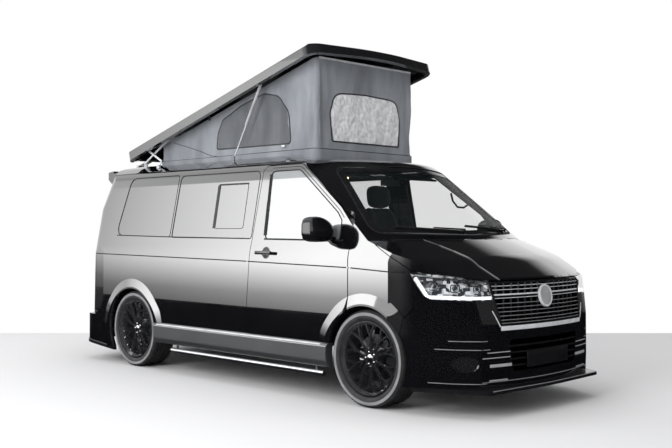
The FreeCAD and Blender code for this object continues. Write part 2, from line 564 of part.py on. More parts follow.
# rail the canvas is clamped to
RAIL = [(-1530, 605, 60), (-1530, -605, 60), (668, -605, 60), (668, 605, 60)]
rail = prism_z(RAIL, 1820, 1932).cut(prism_z(inset(RAIL, 34), 1700, 2000)).cut(SKIN0)
node("roof_rail", rail)
CANVAS_BASE = [(-1518, 596, 50), (-1518, -596, 50), (656, -596, 50), (656, 596, 50)]
wedge = prism_y([(-1700, 1932), (-1700, under_roof(-1700, 30)), (900, under_roof(900, 30)), (900, 1932)],
                -700, 700)
canvas = prism_z(CANVAS_BASE, 1932, 2900).cut(prism_z(inset(CANVAS_BASE, 12), 1900, 3000))
node("canvas", canvas.common(wedge))

# ---------------------------------------------------------------- roof arms and gas struts
ARM_Y, BENT_Y, STRUT_Y = 645.0, 662.0, 680.0
ARM_FOOT, BENT_FOOT, STRUT_FOOT = (-1720.0, 1925.0), (-1446.0, 1888.0), (-287.0, 1905.0)
ARM_TOP = (-1330.0, under_roof(-1330, 30))
BENT_TOP = (-1640.0, under_roof(-1640, 30))
BENT_KNEE = (-1418.0, 1936.0)
STRUT_TOP = (80.0, under_roof(80, 30))


def flat_arm(p, q, y, width=18.0, thick=8.0):
    n = math.hypot(q[0] - p[0], q[1] - p[1])
    s, c = (q[1] - p[1]) / n * width / 2, (q[0] - p[0]) / n * width / 2
    bar = rounded_face([(p[0] - s, p[1] + c), (q[0] - s, q[1] + c), (q[0] + s, q[1] - c),
                        (p[0] + s, p[1] - c)], XZ(-y - thick / 2)).extrude(Vector(0, thick, 0))
    return fused(bar, [rod((e[0], -y - thick / 2, e[1]), (e[0], -y + thick / 2, e[1]), width / 2)
                       for e in (p, q)])


node("roof_arms_straight", pair(flat_arm(ARM_FOOT, ARM_TOP, ARM_Y)))
node("roof_arms_bent", pair(fused(flat_arm(BENT_FOOT, BENT_KNEE, BENT_Y),
                                  flat_arm(BENT_KNEE, BENT_TOP, BENT_Y))))
dx, dz = STRUT_FOOT[0] - STRUT_TOP[0], STRUT_FOOT[1] - STRUT_TOP[1]
span = math.hypot(dx, dz)


def along(s):
    """Point on the strut's line, s from its upper end."""
    return (STRUT_TOP[0] + dx / span * s, -STRUT_Y, STRUT_TOP[1] + dz / span * s)


tube = rod(along(24), along(400), 13).cut(rod(along(40), along(410), 10))
tube = fused(tube, rod(along(0), along(28), 7),
             rod((STRUT_TOP[0], -688, STRUT_TOP[1]), (STRUT_TOP[0], -672, STRUT_TOP[1]), 9))
strut_rod = rod(along(span - 345), along(span), 5)
lug = box(STRUT_TOP[0] - 11, STRUT_TOP[0] + 11, -730, -688 - SEAT, STRUT_TOP[1] - 11, STRUT_TOP[1] + 11)
runners = [box(x0, x1, -725, -y - 4 - SEAT, RIM_Z + 22, RIM_Z + 38) for x0, x1, y in
           ((-1400, -1200, ARM_Y), (-1740, -1600, BENT_Y))]
node("roof_shell", fused(opened(fused(shell, straps, [pair(b) for b in runners])), pair(lug)))
node("strut_tubes", pair(tube))
node("strut_rods", pair(strut_rod))
feet = [box(x - 20, x + 20, -y1, -y0, 1780, z + 10).cut(SKIN0) for (x, z), y0, y1 in
        ((ARM_FOOT, 623, ARM_Y - 4 - SEAT), (BENT_FOOT, BENT_Y + 4 + SEAT, 684),
         (STRUT_FOOT, STRUT_Y + 5 + SEAT, 698))]
ears = [fused(box(px - 16, px + 16, y - 5, y + 5, 1878, pz), rod((px, y - 5, pz), (px, y + 5, pz), 12)).cut(
    SKIN0) for y in (-456, -384)]
node("roof_brackets", [pair(b) for b in feet + ears])

# ---------------------------------------------------------------- cabin
# Seat outline from the front edge of its cushion (x, z, radius).
SEAT_SIDE = [(0, 0, 40), (0, 130, 30), (-420, 110, 40), (-480, 130, 30), (-620, 740, 50), (-720, 730, 50),
             (-610, 60, 60), (-540, 0, 30)]


def seat(x, y, z, width):
    body = prism_y([(x + u, z + v, r) for u, v, r in SEAT_SIDE], y - width / 2, y + width / 2)
    head = prism_y([(x - 700, z + 765, 20), (x - 700, z + 955, 30), (x - 625, z + 955, 30),
                    (x - 605, z + 765, 20)], y - 130, y + 130)
    return fused(body, head, rod((x - 668, y, z + 700), (x - 655, y, z + 780), 12),
                 box(x - 500, x - 80, y - 190, y + 190, FLOOR_Z[1], z))


node("front_seats", [seat(1100, y, 720, 500) for y in (-380, 380)])
bench = fused(box(-1900, -1130, -560, 560, FLOOR_Z[1], 780), box(-1320, -1130, -560, 560, 780, 1380))
node("rear_bench", big(bench.cut([well_r, mirrored(well_r)])))
node("kitchen_unit", box(-1040, 140, -845, -470, FLOOR_Z[1], 1140))
dash = prism_y([(1470, 700, 0), (1470, 1185, 0), (1330, 1190, 60), (1200, 1150, 50), (1150, 1060, 50),
                (1205, 880, 40), (1330, 760, 40)], -835, 835).common(IN90)
WHEEL_AT = Vector(1040, -380, 1100)
COLUMN = Vector(math.cos(math.radians(24)), 0, -math.sin(math.radians(24)))
housing = Part.makeCylinder(42, 200, WHEEL_AT + COLUMN * (60 + SEAT), COLUMN)
node("dashboard", fused(dash.cut([well_f, mirrored(well_f)]), housing))
ring = Part.makeTorus(185, 14, WHEEL_AT, COLUMN)
hub = Part.makeCylinder(34, 60, WHEEL_AT, COLUMN)
spokes = []
for a in (0, 120, 240):
    bar = Part.makeCylinder(10, 182, WHEEL_AT + COLUMN * 15, Vector(0, 1, 0).cross(COLUMN))
    bar.rotate(WHEEL_AT, COLUMN, a)
    spokes.append(bar)
node("steering_wheel", fused(ring, hub, spokes))

# ---------------------------------------------------------------- door mirrors
HOUSE_PLAN = [(1092, -1168, 40), (1096, -955, 20), (1215, -950, 70), (1262, -1030, 90), (1196, -1168, 60)]
HOUSE_FRONT = [(-1170, 1196, 50), (-1162, 1374, 50), (-1040, 1374, 110), (-950, 1240, 30),
               (-950, 1182, 20)]
house = prism_z(HOUSE_PLAN, 1100, 1400).common(prism_x(HOUSE_FRONT, 1000, 1300))
foot = prism_x([(-1000, 1184), (-1000, 1220), (-900, 1232, 6), (-900, 1176, 6)], 1176, 1268).cut(SKIN0)
mirror = fused(house, foot)
node("mirror_right", mirror)
node("mirror_left", mirrored(mirror))
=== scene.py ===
# Looks of the camper van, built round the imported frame. Metres, +X forward, +Y left, +Z up.
import math

import bpy
import bmesh
from mathutils import Matrix, Vector, noise
from mathutils.bvhtree import BVHTree


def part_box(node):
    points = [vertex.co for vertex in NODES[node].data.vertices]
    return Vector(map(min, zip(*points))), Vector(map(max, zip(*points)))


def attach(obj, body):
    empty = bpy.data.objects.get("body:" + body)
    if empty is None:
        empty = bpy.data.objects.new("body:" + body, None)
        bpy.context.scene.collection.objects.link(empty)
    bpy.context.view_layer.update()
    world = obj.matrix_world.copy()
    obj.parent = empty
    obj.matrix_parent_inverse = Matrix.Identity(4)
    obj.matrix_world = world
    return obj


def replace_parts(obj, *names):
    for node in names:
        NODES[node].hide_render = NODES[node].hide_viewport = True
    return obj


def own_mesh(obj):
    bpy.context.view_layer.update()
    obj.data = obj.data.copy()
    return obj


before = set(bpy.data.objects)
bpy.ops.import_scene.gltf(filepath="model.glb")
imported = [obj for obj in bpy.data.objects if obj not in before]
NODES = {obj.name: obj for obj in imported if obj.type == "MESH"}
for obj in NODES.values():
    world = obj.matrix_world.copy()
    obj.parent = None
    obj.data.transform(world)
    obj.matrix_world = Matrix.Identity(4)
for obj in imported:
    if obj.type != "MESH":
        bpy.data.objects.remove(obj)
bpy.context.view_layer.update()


# ---- materials
def material(name, color, rough=0.5, metal=0.0, **more):
    m = bpy.data.materials.new(name)
    m.use_nodes = True
    b = m.node_tree.nodes["Principled BSDF"]
    b.inputs["Base Color"].default_value = (*color, 1)
    b.inputs["Roughness"].default_value = rough
    b.inputs["Metallic"].default_value = metal
    for k, v in more.items():
        b.inputs[k.replace("_", " ")].default_value = v
    return m


def node(m, kind, values=None, **settings):
    """New node with its settings and the values of its inputs."""
    n = m.node_tree.nodes.new(kind)
    for k, v in settings.items():
        setattr(n, k, v)
    for k, v in (values or {}).items():
        n.inputs[k].default_value = v
    return n


def link(m, a, b):
    m.node_tree.links.new(a, b)


def shader(m):
    return m.node_tree.nodes["Principled BSDF"]


def math_node(m, op, *values):
    n = node(m, "ShaderNodeMath", operation=op)
    for i, x in enumerate(values):
        if isinstance(x, (int, float)):
            n.inputs[i].default_value = x
        else:
            link(m, x, n.inputs[i])
    return n.outputs[0]


def along_axis(m, vector, axis):
    n = node(m, "ShaderNodeSeparateXYZ")
    link(m, vector, n.inputs[0])
    return n.outputs[axis]


def place(m, scale=(1, 1, 1), at=(0, 0, 0)):
    """Coordinates fixed to the piece, moved by -at and scaled."""
    n = node(m, "ShaderNodeMapping", {"Location": [-a * b for a, b in zip(at, scale)], "Scale": scale})
    link(m, node(m, "ShaderNodeTexCoord").outputs["Object"], n.inputs["Vector"])
    return n.outputs["Vector"]


def grain(m, scale, detail=3.0, stretch=(1, 1, 1)):
    n = node(m, "ShaderNodeTexNoise", {"Scale": scale, "Detail": detail})
    link(m, place(m, stretch), n.inputs["Vector"])
    return n.outputs["Fac"]


def remap(m, value, lo, hi, a=0.3, b=0.7):
    n = node(m, "ShaderNodeMapRange", {"From Min": a, "From Max": b, "To Min": lo, "To Max": hi})
    link(m, value, n.inputs["Value"])
    return n.outputs["Result"]


def vary(m, socket, value, lo, hi):
    link(m, remap(m, value, lo, hi), shader(m).inputs[socket])


def blend_color(m, fac, a, b):
    n = node(m, "ShaderNodeMix", {"A": (*a, 1), "B": (*b, 1)}, data_type="RGBA")
    link(m, fac, n.inputs["Factor"])
    link(m, n.outputs["Result"], shader(m).inputs["Base Color"])
    return n


def bumps(m, *layers):
    """Stack of (height output, strength, distance)."""
    last = None
    for height, strength, distance in layers:
        n = node(m, "ShaderNodeBump", {"Strength": strength, "Distance": distance})
        link(m, height, n.inputs["Height"])
        if last:
            link(m, last, n.inputs["Normal"])
        last = n.outputs["Normal"]
    link(m, last, shader(m).inputs["Normal"])


def step_mask(m, axis, at, width=0.01):
    """0 below a place along an axis of the piece, 1 above it."""
    return remap(m, along_axis(m, place(m), axis), 0, 1, at - width, at + width)


def wave(m, scale, direction):
    n = node(m, "ShaderNodeTexWave", {"Scale": scale}, wave_type="BANDS", bands_direction=direction)
    link(m, place(m), n.inputs["Vector"])
    return n.outputs["Fac"]


def paint(name, color, rough=0.05, ior=2.8, coat_ior=2.0):
    m = material(name, color, rough, Coat_Weight=1.0, Coat_Roughness=0.015, Coat_IOR=coat_ior, IOR=ior)
    blend_color(m, remap(m, grain(m, 900, 2), 0, 1), color, [c * 1.8 + 0.001 for c in color])
    vary(m, "Roughness", grain(m, 4), rough, rough + 0.05)
    bumps(m, (grain(m, 110, 2), 0.05, 0.0004))
    return m


def plastic(name, color, rough=0.5, scale=600, depth=0.0006):
    m = material(name, color, rough)
    blend_color(m, remap(m, grain(m, 12), 0, 1), color, [c * 1.35 + 0.002 for c in color])
    vary(m, "Roughness", grain(m, 30), rough - 0.06, rough + 0.08)
    bumps(m, (grain(m, scale, 4), 0.35, depth))
    return m


def metal(name, color, rough=0.25, stretch=(1, 1, 30)):
    m = material(name, color, rough, 1.0)
    blend_color(m, remap(m, grain(m, 25, 4, stretch), 0, 1), color, [min(1, c * 1.12) for c in color])
    vary(m, "Roughness", grain(m, 40, 4, stretch), rough - 0.06, rough + 0.1)
    bumps(m, (grain(m, 300, 3, stretch), 0.12, 0.0003))
    return m


def glass(name, color, solid, ior=1.5, coat_ior=1.5):
    """Tinted glass: the solid share hides what is behind, under a gloss surface."""
    m = material(name, color, 0.01, 0.0, IOR=ior, Alpha=solid, Coat_Weight=1.0, Coat_Roughness=0.01,
                 Coat_IOR=coat_ior)
    blend_color(m, remap(m, grain(m, 3), 0, 1), color, [c * 1.15 for c in color])
    vary(m, "Roughness", grain(m, 6), 0.01, 0.03)
    bumps(m, (grain(m, 5, 1), 0.04, 0.001))
    return m


def leather(name, color):
    m = material(name, color, 0.45, Specular_IOR_Level=0.45, Sheen_Weight=0.1)
    v = node(m, "ShaderNodeTexVoronoi", {"Scale": 420}, feature="DISTANCE_TO_EDGE")
    link(m, place(m), v.inputs["Vector"])
    blend_color(m, remap(m, grain(m, 9, 5), 0, 1), color, [c * 1.6 + 0.003 for c in color])
    vary(m, "Roughness", grain(m, 14, 4), 0.36, 0.54)
    bumps(m, (v.outputs["Distance"], 0.3, 0.0006), (grain(m, 30, 3), 0.25, 0.002))
    return m


def cloth(name, color, dark):
    m = material(name, color, 0.9, Sheen_Weight=0.15, Sheen_Roughness=0.5)
    # darker and lighter streaks, stretched upright: random tone, and painted shade of the folds
    blend_color(m, remap(m, grain(m, 3.5, 6, (1.5, 1.5, 0.5)), 0, 1), dark, color)
    vary(m, "Roughness", grain(m, 20), 0.82, 0.95)
    folds = grain(m, 6.5, 5, (1.0, 1.0, 0.5))
    bumps(m, (wave(m, 420, "X"), 0.3, 0.0004), (wave(m, 420, "Z"), 0.3, 0.0004), (folds, 0.5, 0.02))
    return m


def lamp(name, color, strength):
    m = material(name, color, 0.25, Emission_Strength=strength)
    shader(m).inputs["Emission Color"].default_value = (*color, 1)
    blend_color(m, remap(m, grain(m, 60), 0, 1), color, [c * 0.9 for c in color])
    bumps(m, (wave(m, 60, "X"), 0.3, 0.0008))
    return m


# below LAMP_SPLIT_Z the fog lamp glass and bowls are painted dark as painted shade
LAMP_SPLIT_Z = 0.55      # headlamp glass and bowls above it, fog lamps below
BRACKET_SPLIT_X = -0.6   # roof feet behind it are pale, those ahead dark
SPOKE_BLACK = (0.012, 0.012, 0.014)

BLACK = paint("gloss_black_paint", (0.003, 0.003, 0.004))
WHEEL = paint("wheel_black", SPOKE_BLACK, 0.12)
TRIM = plastic("black_trim", (0.018, 0.018, 0.02), 0.42)
SOFT = plastic("dash_plastic", (0.022, 0.024, 0.027), 0.6, 300, 0.001)
GLOSS = plastic("gloss_trim", (0.008, 0.008, 0.009), 0.12, 80, 0.0002)
SEAL = plastic("rubber_seal_and_painted_shadow", (0.01, 0.01, 0.011), 0.6, 200, 0.0005)
STEEL = metal("black_steel", (0.035, 0.035, 0.04), 0.4)
SILVER = metal("satin_silver", (0.82, 0.83, 0.85), 0.3, (30, 1, 1))
CHROME = metal("chrome", (0.86, 0.87, 0.89), 0.1)
# LIGHT is real light trim and also the colour of strips that are painted highlights
LIGHT = plastic("light_trim_and_painted_highlight", (0.58, 0.59, 0.61), 0.3, 300, 0.0002)
# PALE_HIGHLIGHT colours strips that are painted highlights
PALE_HIGHLIGHT = plastic("pale_painted_highlight", (0.2, 0.2, 0.21), 0.3, 300, 0.0002)
BRACKET = plastic("bracket_metal", (0.5, 0.5, 0.52), 0.3, 300, 0.0002)
blend_color(BRACKET, step_mask(BRACKET, "X", BRACKET_SPLIT_X), (0.58, 0.59, 0.61), (0.17, 0.175, 0.185))
# GREY is the real grey of tubes and the emblem, and also of bumper strips that are painted highlights
GREY = plastic("grey_tube_and_painted_highlight", (0.34, 0.34, 0.35), 0.32, 300, 0.0002)
FIN = plastic("grille_fin", (0.07, 0.07, 0.075), 0.3, 300, 0.0002)
# side skirts: the grey colour on what is a gloss black panel is a painted reflection
SKIRT_PAINTED_REFLECTION = paint("skirt_painted_reflection", (0.034, 0.035, 0.038), 0.3)
CASE = paint("mirror_case", (0.004, 0.004, 0.005), 0.06, 1.6, 1.35)
SHELL = paint("roof_shell_paint", (0.008, 0.008, 0.009), 0.16, 2.0, 1.45)
PIPE = metal("pipe_steel", (0.42, 0.41, 0.4), 0.38)
IRON = plastic("cast_iron", (0.09, 0.09, 0.09), 0.75, 150, 0.003)
FLOOR = plastic("floor_paint", (0.035, 0.035, 0.04), 0.6, 90, 0.002)
BOARD = plastic("cabinet_board", (0.42, 0.41, 0.39), 0.4, 30, 0.0005)
TOP = plastic("worktop", (0.2, 0.2, 0.21), 0.3, 200, 0.0003)
CANVAS = cloth("canvas_grey", (0.32, 0.34, 0.37), (0.205, 0.218, 0.24))
PIPING = plastic("dark_piping", (0.035, 0.037, 0.042), 0.7, 500, 0.0006)
LEATHER = leather("black_leather", (0.018, 0.018, 0.02))
DARK_GLASS = glass("dark_glass", (0.006, 0.007, 0.008), 0.93, 2.8, 2.0)
CLEAR = glass("screen_glass", (0.05, 0.065, 0.07), 0.08, 2.0, 1.8)
# right door glass: its light grey, nearly opaque colour is a painted reflection; the left door glass has the
# real clear tint
DOOR_GLASS_PAINTED_REFLECTION = glass("door_glass_right", (0.22, 0.24, 0.25), 0.92, 2.8, 2.0)
DOOR_CLEAR = glass("door_glass_left", (0.10, 0.12, 0.12), 0.09, 1.6, 1.5)
SIDE_GLASS = glass("side_glass", (0.006, 0.007, 0.008), 0.93, 2.8, 2.0)
link(SIDE_GLASS, remap(SIDE_GLASS, step_mask(SIDE_GLASS, "Y", 0.0, 0.1), 0.93, 0.2, 0, 1),
     shader(SIDE_GLASS).inputs["Alpha"])
# lamp glass: clear above LAMP_SPLIT_Z, painted dark and nearly opaque below it for the fog lamps as painted
# shade
LENS = glass("lamp_glass", (0.12, 0.13, 0.14), 0.08, 1.5, 1.5)
above = step_mask(LENS, "Z", LAMP_SPLIT_Z)
blend_color(LENS, above, (0.012, 0.012, 0.014), (0.12, 0.13, 0.14))
link(LENS, remap(LENS, above, 0.9, 0.08, 0, 1), shader(LENS).inputs["Alpha"])
# lamp bowls: each facet painted a lighter or darker grey as a painted reflection; the fog bowls below
# LAMP_SPLIT_Z are painted dark as painted shade
BOWL = material("lamp_bowl", (0.4, 0.41, 0.42), 0.2)
facet = node(BOWL, "ShaderNodeTexVoronoi", {"Scale": 1.0, "Randomness": 0.7}, feature="F1",
             distance="CHEBYCHEV")
link(BOWL, place(BOWL, (30, 24, 42)), facet.inputs["Vector"])
facet_reflection_tone = along_axis(BOWL, facet.outputs["Color"], "X")
painted_facet_reflection = math_node(BOWL, "MULTIPLY", remap(BOWL, facet_reflection_tone, 0, 1, 0.35, 0.75), step_mask(BOWL, "Z", LAMP_SPLIT_Z))
blend_color(BOWL, painted_facet_reflection, (0.03, 0.03, 0.034), (0.88, 0.9, 0.92))
vary(BOWL, "Roughness", grain(BOWL, 40), 0.15, 0.3)
bumps(BOWL, (facet.outputs["Distance"], 0.5, 0.004))
RED = material("red_lens", (0.7, 0.03, 0.035), 0.3, Coat_Weight=0.2, Coat_IOR=1.4, Specular_IOR_Level=0.2)
blend_color(RED, remap(RED, wave(RED, 14, "Z"), 0, 1), (0.55, 0.02, 0.025), (0.8, 0.05, 0.055))
bumps(RED, (wave(RED, 25, "Z"), 0.3, 0.001), (wave(RED, 25, "X"), 0.2, 0.001))
WHITE_LIGHT = lamp("running_light", (0.95, 0.97, 1.0), 1.4)
CABIN_LIGHT = lamp("cabin_light", (1.0, 0.78, 0.4), 5.0)

FINISH = [
    (BLACK, "body_side_right body_side_left door_right door_left sliding_door pillar_frame roof_panel "
            "tailgate bonnet front_wings front_bumper rear_bumper"),
    (SHELL, "roof_shell spoiler"),
    (CASE, "mirror_right mirror_left"),
    (SKIRT_PAINTED_REFLECTION, "side_skirts"),
    (GLOSS, "bumper_lips"),
    (SIDE_GLASS, "side_windows"),
    (DARK_GLASS, "tailgate_window"),
    (CLEAR, "windscreen"),
    (DOOR_GLASS_PAINTED_REFLECTION, "door_glass_right"),
    (DOOR_CLEAR, "door_glass_left"),
    (LENS, "headlamp_lenses"),
    (RED, "tail_lamps"),
    (BOWL, "headlamps"),
    (GLOSS, "grille"),
    (SILVER, "side_bars"),
    (STEEL, "front_carrier knuckle_right knuckle_left suspension"),
    (FLOOR, "floor_pan bulkhead"),
    (TRIM, "wheel_liners"),
    (BRACKET, "roof_brackets"),
    (IRON, "engine_block"),
    (PIPE, "exhaust"),
    (LIGHT, "strut_rods roof_arms_straight roof_arms_bent"),
    (GREY, "strut_tubes"),
    (CANVAS, "roof_rail"),
    (SOFT, "dashboard steering_wheel"),
    (BOARD, "kitchen_unit"),
]


def dress(name, mat):
    for s in NODES[name].material_slots:
        s.material = mat


for mat, names in FINISH:
    for name in names.split():
        dress(name, mat)

# wheels: black spokes whose flanks are painted greyer as a painted highlight, round a bright brake disc
WHEELS = ("front_right", "front_left", "rear_right", "rear_left")
DISC_R, DISC_HALF = 0.1705, 0.019   # brake disc: radius and half thickness
for tag in WHEELS:
    lo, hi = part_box("rim_" + tag)
    c = (lo + hi) / 2
    m = WHEEL.copy()
    m.name = "wheel_" + tag
    radius = node(m, "ShaderNodeVectorMath", operation="LENGTH")
    link(m, place(m, (1, 0, 1), (c.x, 0, c.z)), radius.inputs[0])
    off = math_node(m, "ABSOLUTE", along_axis(m, place(m, (0, 1, 0), (0, c.y, 0)), "Y"))
    disc = math_node(m, "MULTIPLY", remap(m, radius.outputs["Value"], 1, 0, DISC_R, DISC_R + 0.001),
                     remap(m, off, 1, 0, DISC_HALF, DISC_HALF + 0.0005))
    normal = node(m, "ShaderNodeTexCoord").outputs["Normal"]
    # painted highlight: faces that do not face along Y are painted lighter grey
    flank_highlight = remap(m, math_node(m, "ABSOLUTE", along_axis(m, normal, "Y")), 1, 0, 0.5, 0.9)
    spokes = blend_color(m, flank_highlight, SPOKE_BLACK, (0.06, 0.06, 0.064))
    whole = blend_color(m, disc, SPOKE_BLACK, (0.42, 0.42, 0.43))
    link(m, spokes.outputs["Result"], whole.inputs["A"])
    link(m, disc, shader(m).inputs["Metallic"])
    dress("rim_" + tag, m)


# ---- mesh helpers
class Batch:
    """Vertices and faces of many small pieces, made into one joined mesh."""

    def __init__(self):
        self.v, self.f = [], []

    def add(self, verts, faces):
        k = len(self.v)
        self.v += [Vector(v) for v in verts]
        self.f += [tuple(i + k for i in f) for f in faces]
        return self

    def mirror(self):
        return Batch().add([(v.x, -v.y, v.z) for v in self.v], [f[::-1] for f in self.f])

    def both(self):
        m = self.mirror()
        return self.add(m.v, m.f)

    def done(self, name, mat, slot, body="body", smooth=True):
        me = bpy.data.meshes.new(name)
        me.from_pydata([tuple(v) for v in self.v], [], self.f)
        me.materials.append(mat)
        bm = bmesh.new()
        bm.from_mesh(me)
        bmesh.ops.recalc_face_normals(bm, faces=bm.faces)
        for e in bm.edges:
            if len(e.link_faces) == 2 and e.calc_face_angle(0) > 0.7:
                e.smooth = False
        for f in bm.faces:
            f.smooth = smooth
        bm.to_mesh(me)
        bm.free()
        o = bpy.data.objects.new(name, me)
        bpy.context.scene.collection.objects.link(o)
        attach(o, body)
        return o


def rounded(points, closed=True, step=0.02):
    """Polyline of an outline of (u, v) or (u, v, radius) points in mm, in metres."""
    pts = [Vector((p[0] / 1000, p[1] / 1000)) for p in points]
    rad = [(p[2] if len(p) > 2 else 0) / 1000 for p in points]
    out, n = [], len(pts)
    for i in range(n):
        p, r = pts[i], rad[i]
        if r == 0 or (not closed and i in (0, n - 1)):
            out.append(p)
            continue
        a, b = pts[i - 1] - p, pts[(i + 1) % n] - p
        half = a.angle(b) / 2
        t = min(r / math.tan(half), 0.49 * a.length, 0.49 * b.length)
        k = max(3, int(math.degrees(math.pi - 2 * half) / 9))
        p0, p1 = p + a.normalized() * t, p + b.normalized() * t
        out += [p0 * (1 - s) ** 2 + p * 2 * s * (1 - s) + p1 * s * s for s in [j / k for j in range(k + 1)]]
    fine = []
    for i in range(len(out) - (0 if closed else 1)):
        a, b = out[i], out[(i + 1) % len(out)]
        k = max(1, int((b - a).length / step))
        fine += [a.lerp(b, j / k) for j in range(k)]
    return fine if closed else fine + [out[-1]]


def grown(points, d):
    """Outline of (u, v, radius) points moved outward by d mm."""
    n = len(points)
    area = sum(points[i - 1][0] * points[i][1] - points[i][0] * points[i - 1][1] for i in range(n))
    s = 1 if area > 0 else -1
    out = []
    for i in range(n):
        u, v = points[i][:2]
        e = []
        for q, r in ((points[i - 1], points[i]), (points[i], points[(i + 1) % n])):
            x, y = r[0] - q[0], r[1] - q[1]
            l = math.hypot(x, y)
            e.append((y / l * s, -x / l * s))
        k = 1 + e[0][0] * e[1][0] + e[0][1] * e[1][1]
        out.append((u + d * (e[0][0] + e[1][0]) / k, v + d * (e[0][1] + e[1][1]) / k)
                   + tuple(max(2, r + d) for r in points[i][2:3]))
    return out


def tree(*names):
    v, f = [], []
    for name in names:
        me, k = NODES[name].data, len(v)
        v += [x.co.copy() for x in me.vertices]
        f += [[i + k for i in p.vertices] for p in me.polygons]
    return BVHTree.FromPolygons(v, f)


def cast(bvh, origin, direction):
    p, n, _, _ = bvh.ray_cast(Vector(origin), Vector(direction))
    if p is None:
        p, n, _, _ = bvh.ray_cast(Vector(origin) + Vector((0.0007, 0.0009, 0.0008)), Vector(direction))
    if p is None:
        return None
    return p, (n if n.dot(Vector(direction)) < 0 else -n)


def draped(bvh, flat, axis):
    """Points and normals where a flat polyline meets a skin, looking along the axis."""
    out = []
    for u, v in flat:
        o, d = {"right": ((u, -3, v), (0, 1, 0)), "left": ((u, 3, v), (0, -1, 0)),
                "front": ((4, u, v), (-1, 0, 0)), "rear": ((-4, u, v), (1, 0, 0)),
                "top": ((u, v, 4), (0, 0, -1))}[axis]
        h = cast(bvh, o, d)
        if h:
            out.append(h)
    return out


def run(skin, start, end, n, axis):
    """Straight flat line in n steps, draped on a skin."""
    return draped(skin, [tuple(a + (b - a) * i / n for a, b in zip(start, end)) for i in range(n + 1)], axis)


def strip(line, width, height, closed=True):
    """Raised strip along (point, normal) pairs; its foot is sunk a little and its edges bevelled."""
    sink, bevel = 0.001, 0.35
    n = len(line)
    if n < 2:
        return [], []
    pts = [p for p, _ in line]
    v, f = [], []
    sec = [(-0.5, -sink), (-0.5, height * (1 - bevel)), (-0.5 + bevel * 0.5, height),
           (0.5 - bevel * 0.5, height), (0.5, height * (1 - bevel)), (0.5, -sink)]
    for i in range(n):
        a = pts[i - 1] if closed or i else pts[0]
        b = pts[(i + 1) % n] if closed or i < n - 1 else pts[-1]
        side = (b - a).cross(line[i][1]).normalized()
        v += [pts[i] + side * (s * width) + line[i][1] * h for s, h in sec]
    k = len(sec)
    for i in range(n if closed else n - 1):
        j = (i + 1) % n
        f += [(i * k + a, i * k + (a + 1) % k, j * k + (a + 1) % k, j * k + a) for a in range(k)]
    if not closed:
        f += [tuple(range(k))[::-1], tuple((n - 1) * k + a for a in range(k))]
    return v, f


def tube(points, r, sides=8, closed=False):
    """Round bar along a polyline; r is one radius or one for each point."""
    pts = [Vector(p) for p in points]
    n = len(pts)
    rs = r if hasattr(r, "__len__") else [r] * n
    up = None
    v, f = [], []
    for i, p in enumerate(pts):
        a = pts[i - 1] if closed or i else p
        b = pts[(i + 1) % n] if closed or i < n - 1 else p
        t = (b - a).normalized()
        if up is None:
            up = t.orthogonal().normalized()
        up = (up - t * up.dot(t)).normalized()
        w = t.cross(up)
        v += [p + (up * math.cos(q) + w * math.sin(q)) * rs[i] for q in circle(sides)]
    for i in range(n if closed else n - 1):
        j = (i + 1) % n
        f += [(i * sides + k, i * sides + (k + 1) % sides, j * sides + (k + 1) % sides, j * sides + k)
              for k in range(sides)]
    if not closed:
        f += [tuple(range(sides))[::-1], tuple((n - 1) * sides + k for k in range(sides))]
    return v, f


def circle(steps):
    """Angles of a full turn."""
    return [2 * math.pi * i / steps for i in range(steps)]


def harvest(bm):
    """Vertices and faces of a bmesh, which is then freed."""
    bm.verts.index_update()
    out = [p.co.copy() for p in bm.verts], [tuple(q.index for q in g.verts) for g in bm.faces]
    bm.free()
    return out


def slab(x0, x1, y0, y1, z0, z1, r=0.004):
    """Box with all its edges bevelled by r."""
    bm = bmesh.new()
    bmesh.ops.create_cube(bm, size=1)
    for p in bm.verts:
        p.co = Vector(((x0 + x1) / 2 + p.co.x * (x1 - x0), (y0 + y1) / 2 + p.co.y * (y1 - y0),
                       (z0 + z1) / 2 + p.co.z * (z1 - z0)))
    bmesh.ops.bevel(bm, geom=bm.edges[:], offset=r, segments=2, affect="EDGES", profile=0.5)
    return harvest(bm)


def moved(shape, matrix):
    return [matrix @ Vector(v) for v in shape[0]], shape[1]


def pillow(size, at, turn=0.0, power=5.0, cuts=18, shape=None):
    """Rounded block of size (x, y, z), turned about Y, as (verts, faces); shape edits unit points."""
    bm = bmesh.new()
    bmesh.ops.create_cube(bm, size=2)
    bmesh.ops.subdivide_edges(bm, edges=bm.edges[:], cuts=cuts, use_grid_fill=True)
    rot = Matrix.Rotation(turn, 3, "Y")
    for p in bm.verts:
        q = p.co
        q = q * (sum(abs(a) ** power for a in q) ** (-1 / power) * max(abs(a) for a in q))
        if shape:
            q = shape(q)
        p.co = rot @ Vector((q.x * size[0] / 2, q.y * size[1] / 2, q.z * size[2] / 2)) + Vector(at)
    return harvest(bm)


def turned_profile(profile, centre, axis_y=1, steps=64):
    """Ring turned about a Y axis from (radius, y) points."""
    k = len(profile)
    v = [(centre[0] + r * math.cos(a), centre[1] + y * axis_y, centre[2] + r * math.sin(a))
         for a in circle(steps) for r, y in profile]
    f = [(i * k + j, i * k + j + 1, (i + 1) % steps * k + j + 1, (i + 1) % steps * k + j)
         for i in range(steps) for j in range(k - 1)]
    return v, f


def fan(points):
    """Face filled from the middle of its outline."""
    n = len(points)
    return points + [sum(points, Vector()) / n], [(i, (i + 1) % n, n) for i in range(n)]


def grid(columns, rows, closed=False):
    """Faces between points that run up one column after another."""
    return [(i * rows + j, (i + 1) % columns * rows + j, (i + 1) % columns * rows + j + 1, i * rows + j + 1)
            for i in range(columns if closed else columns - 1) for j in range(rows - 1)]


def adder(make):
    """Batch method that adds what a shape maker returns."""
    return lambda batch, *args: batch.add(*make(*args))


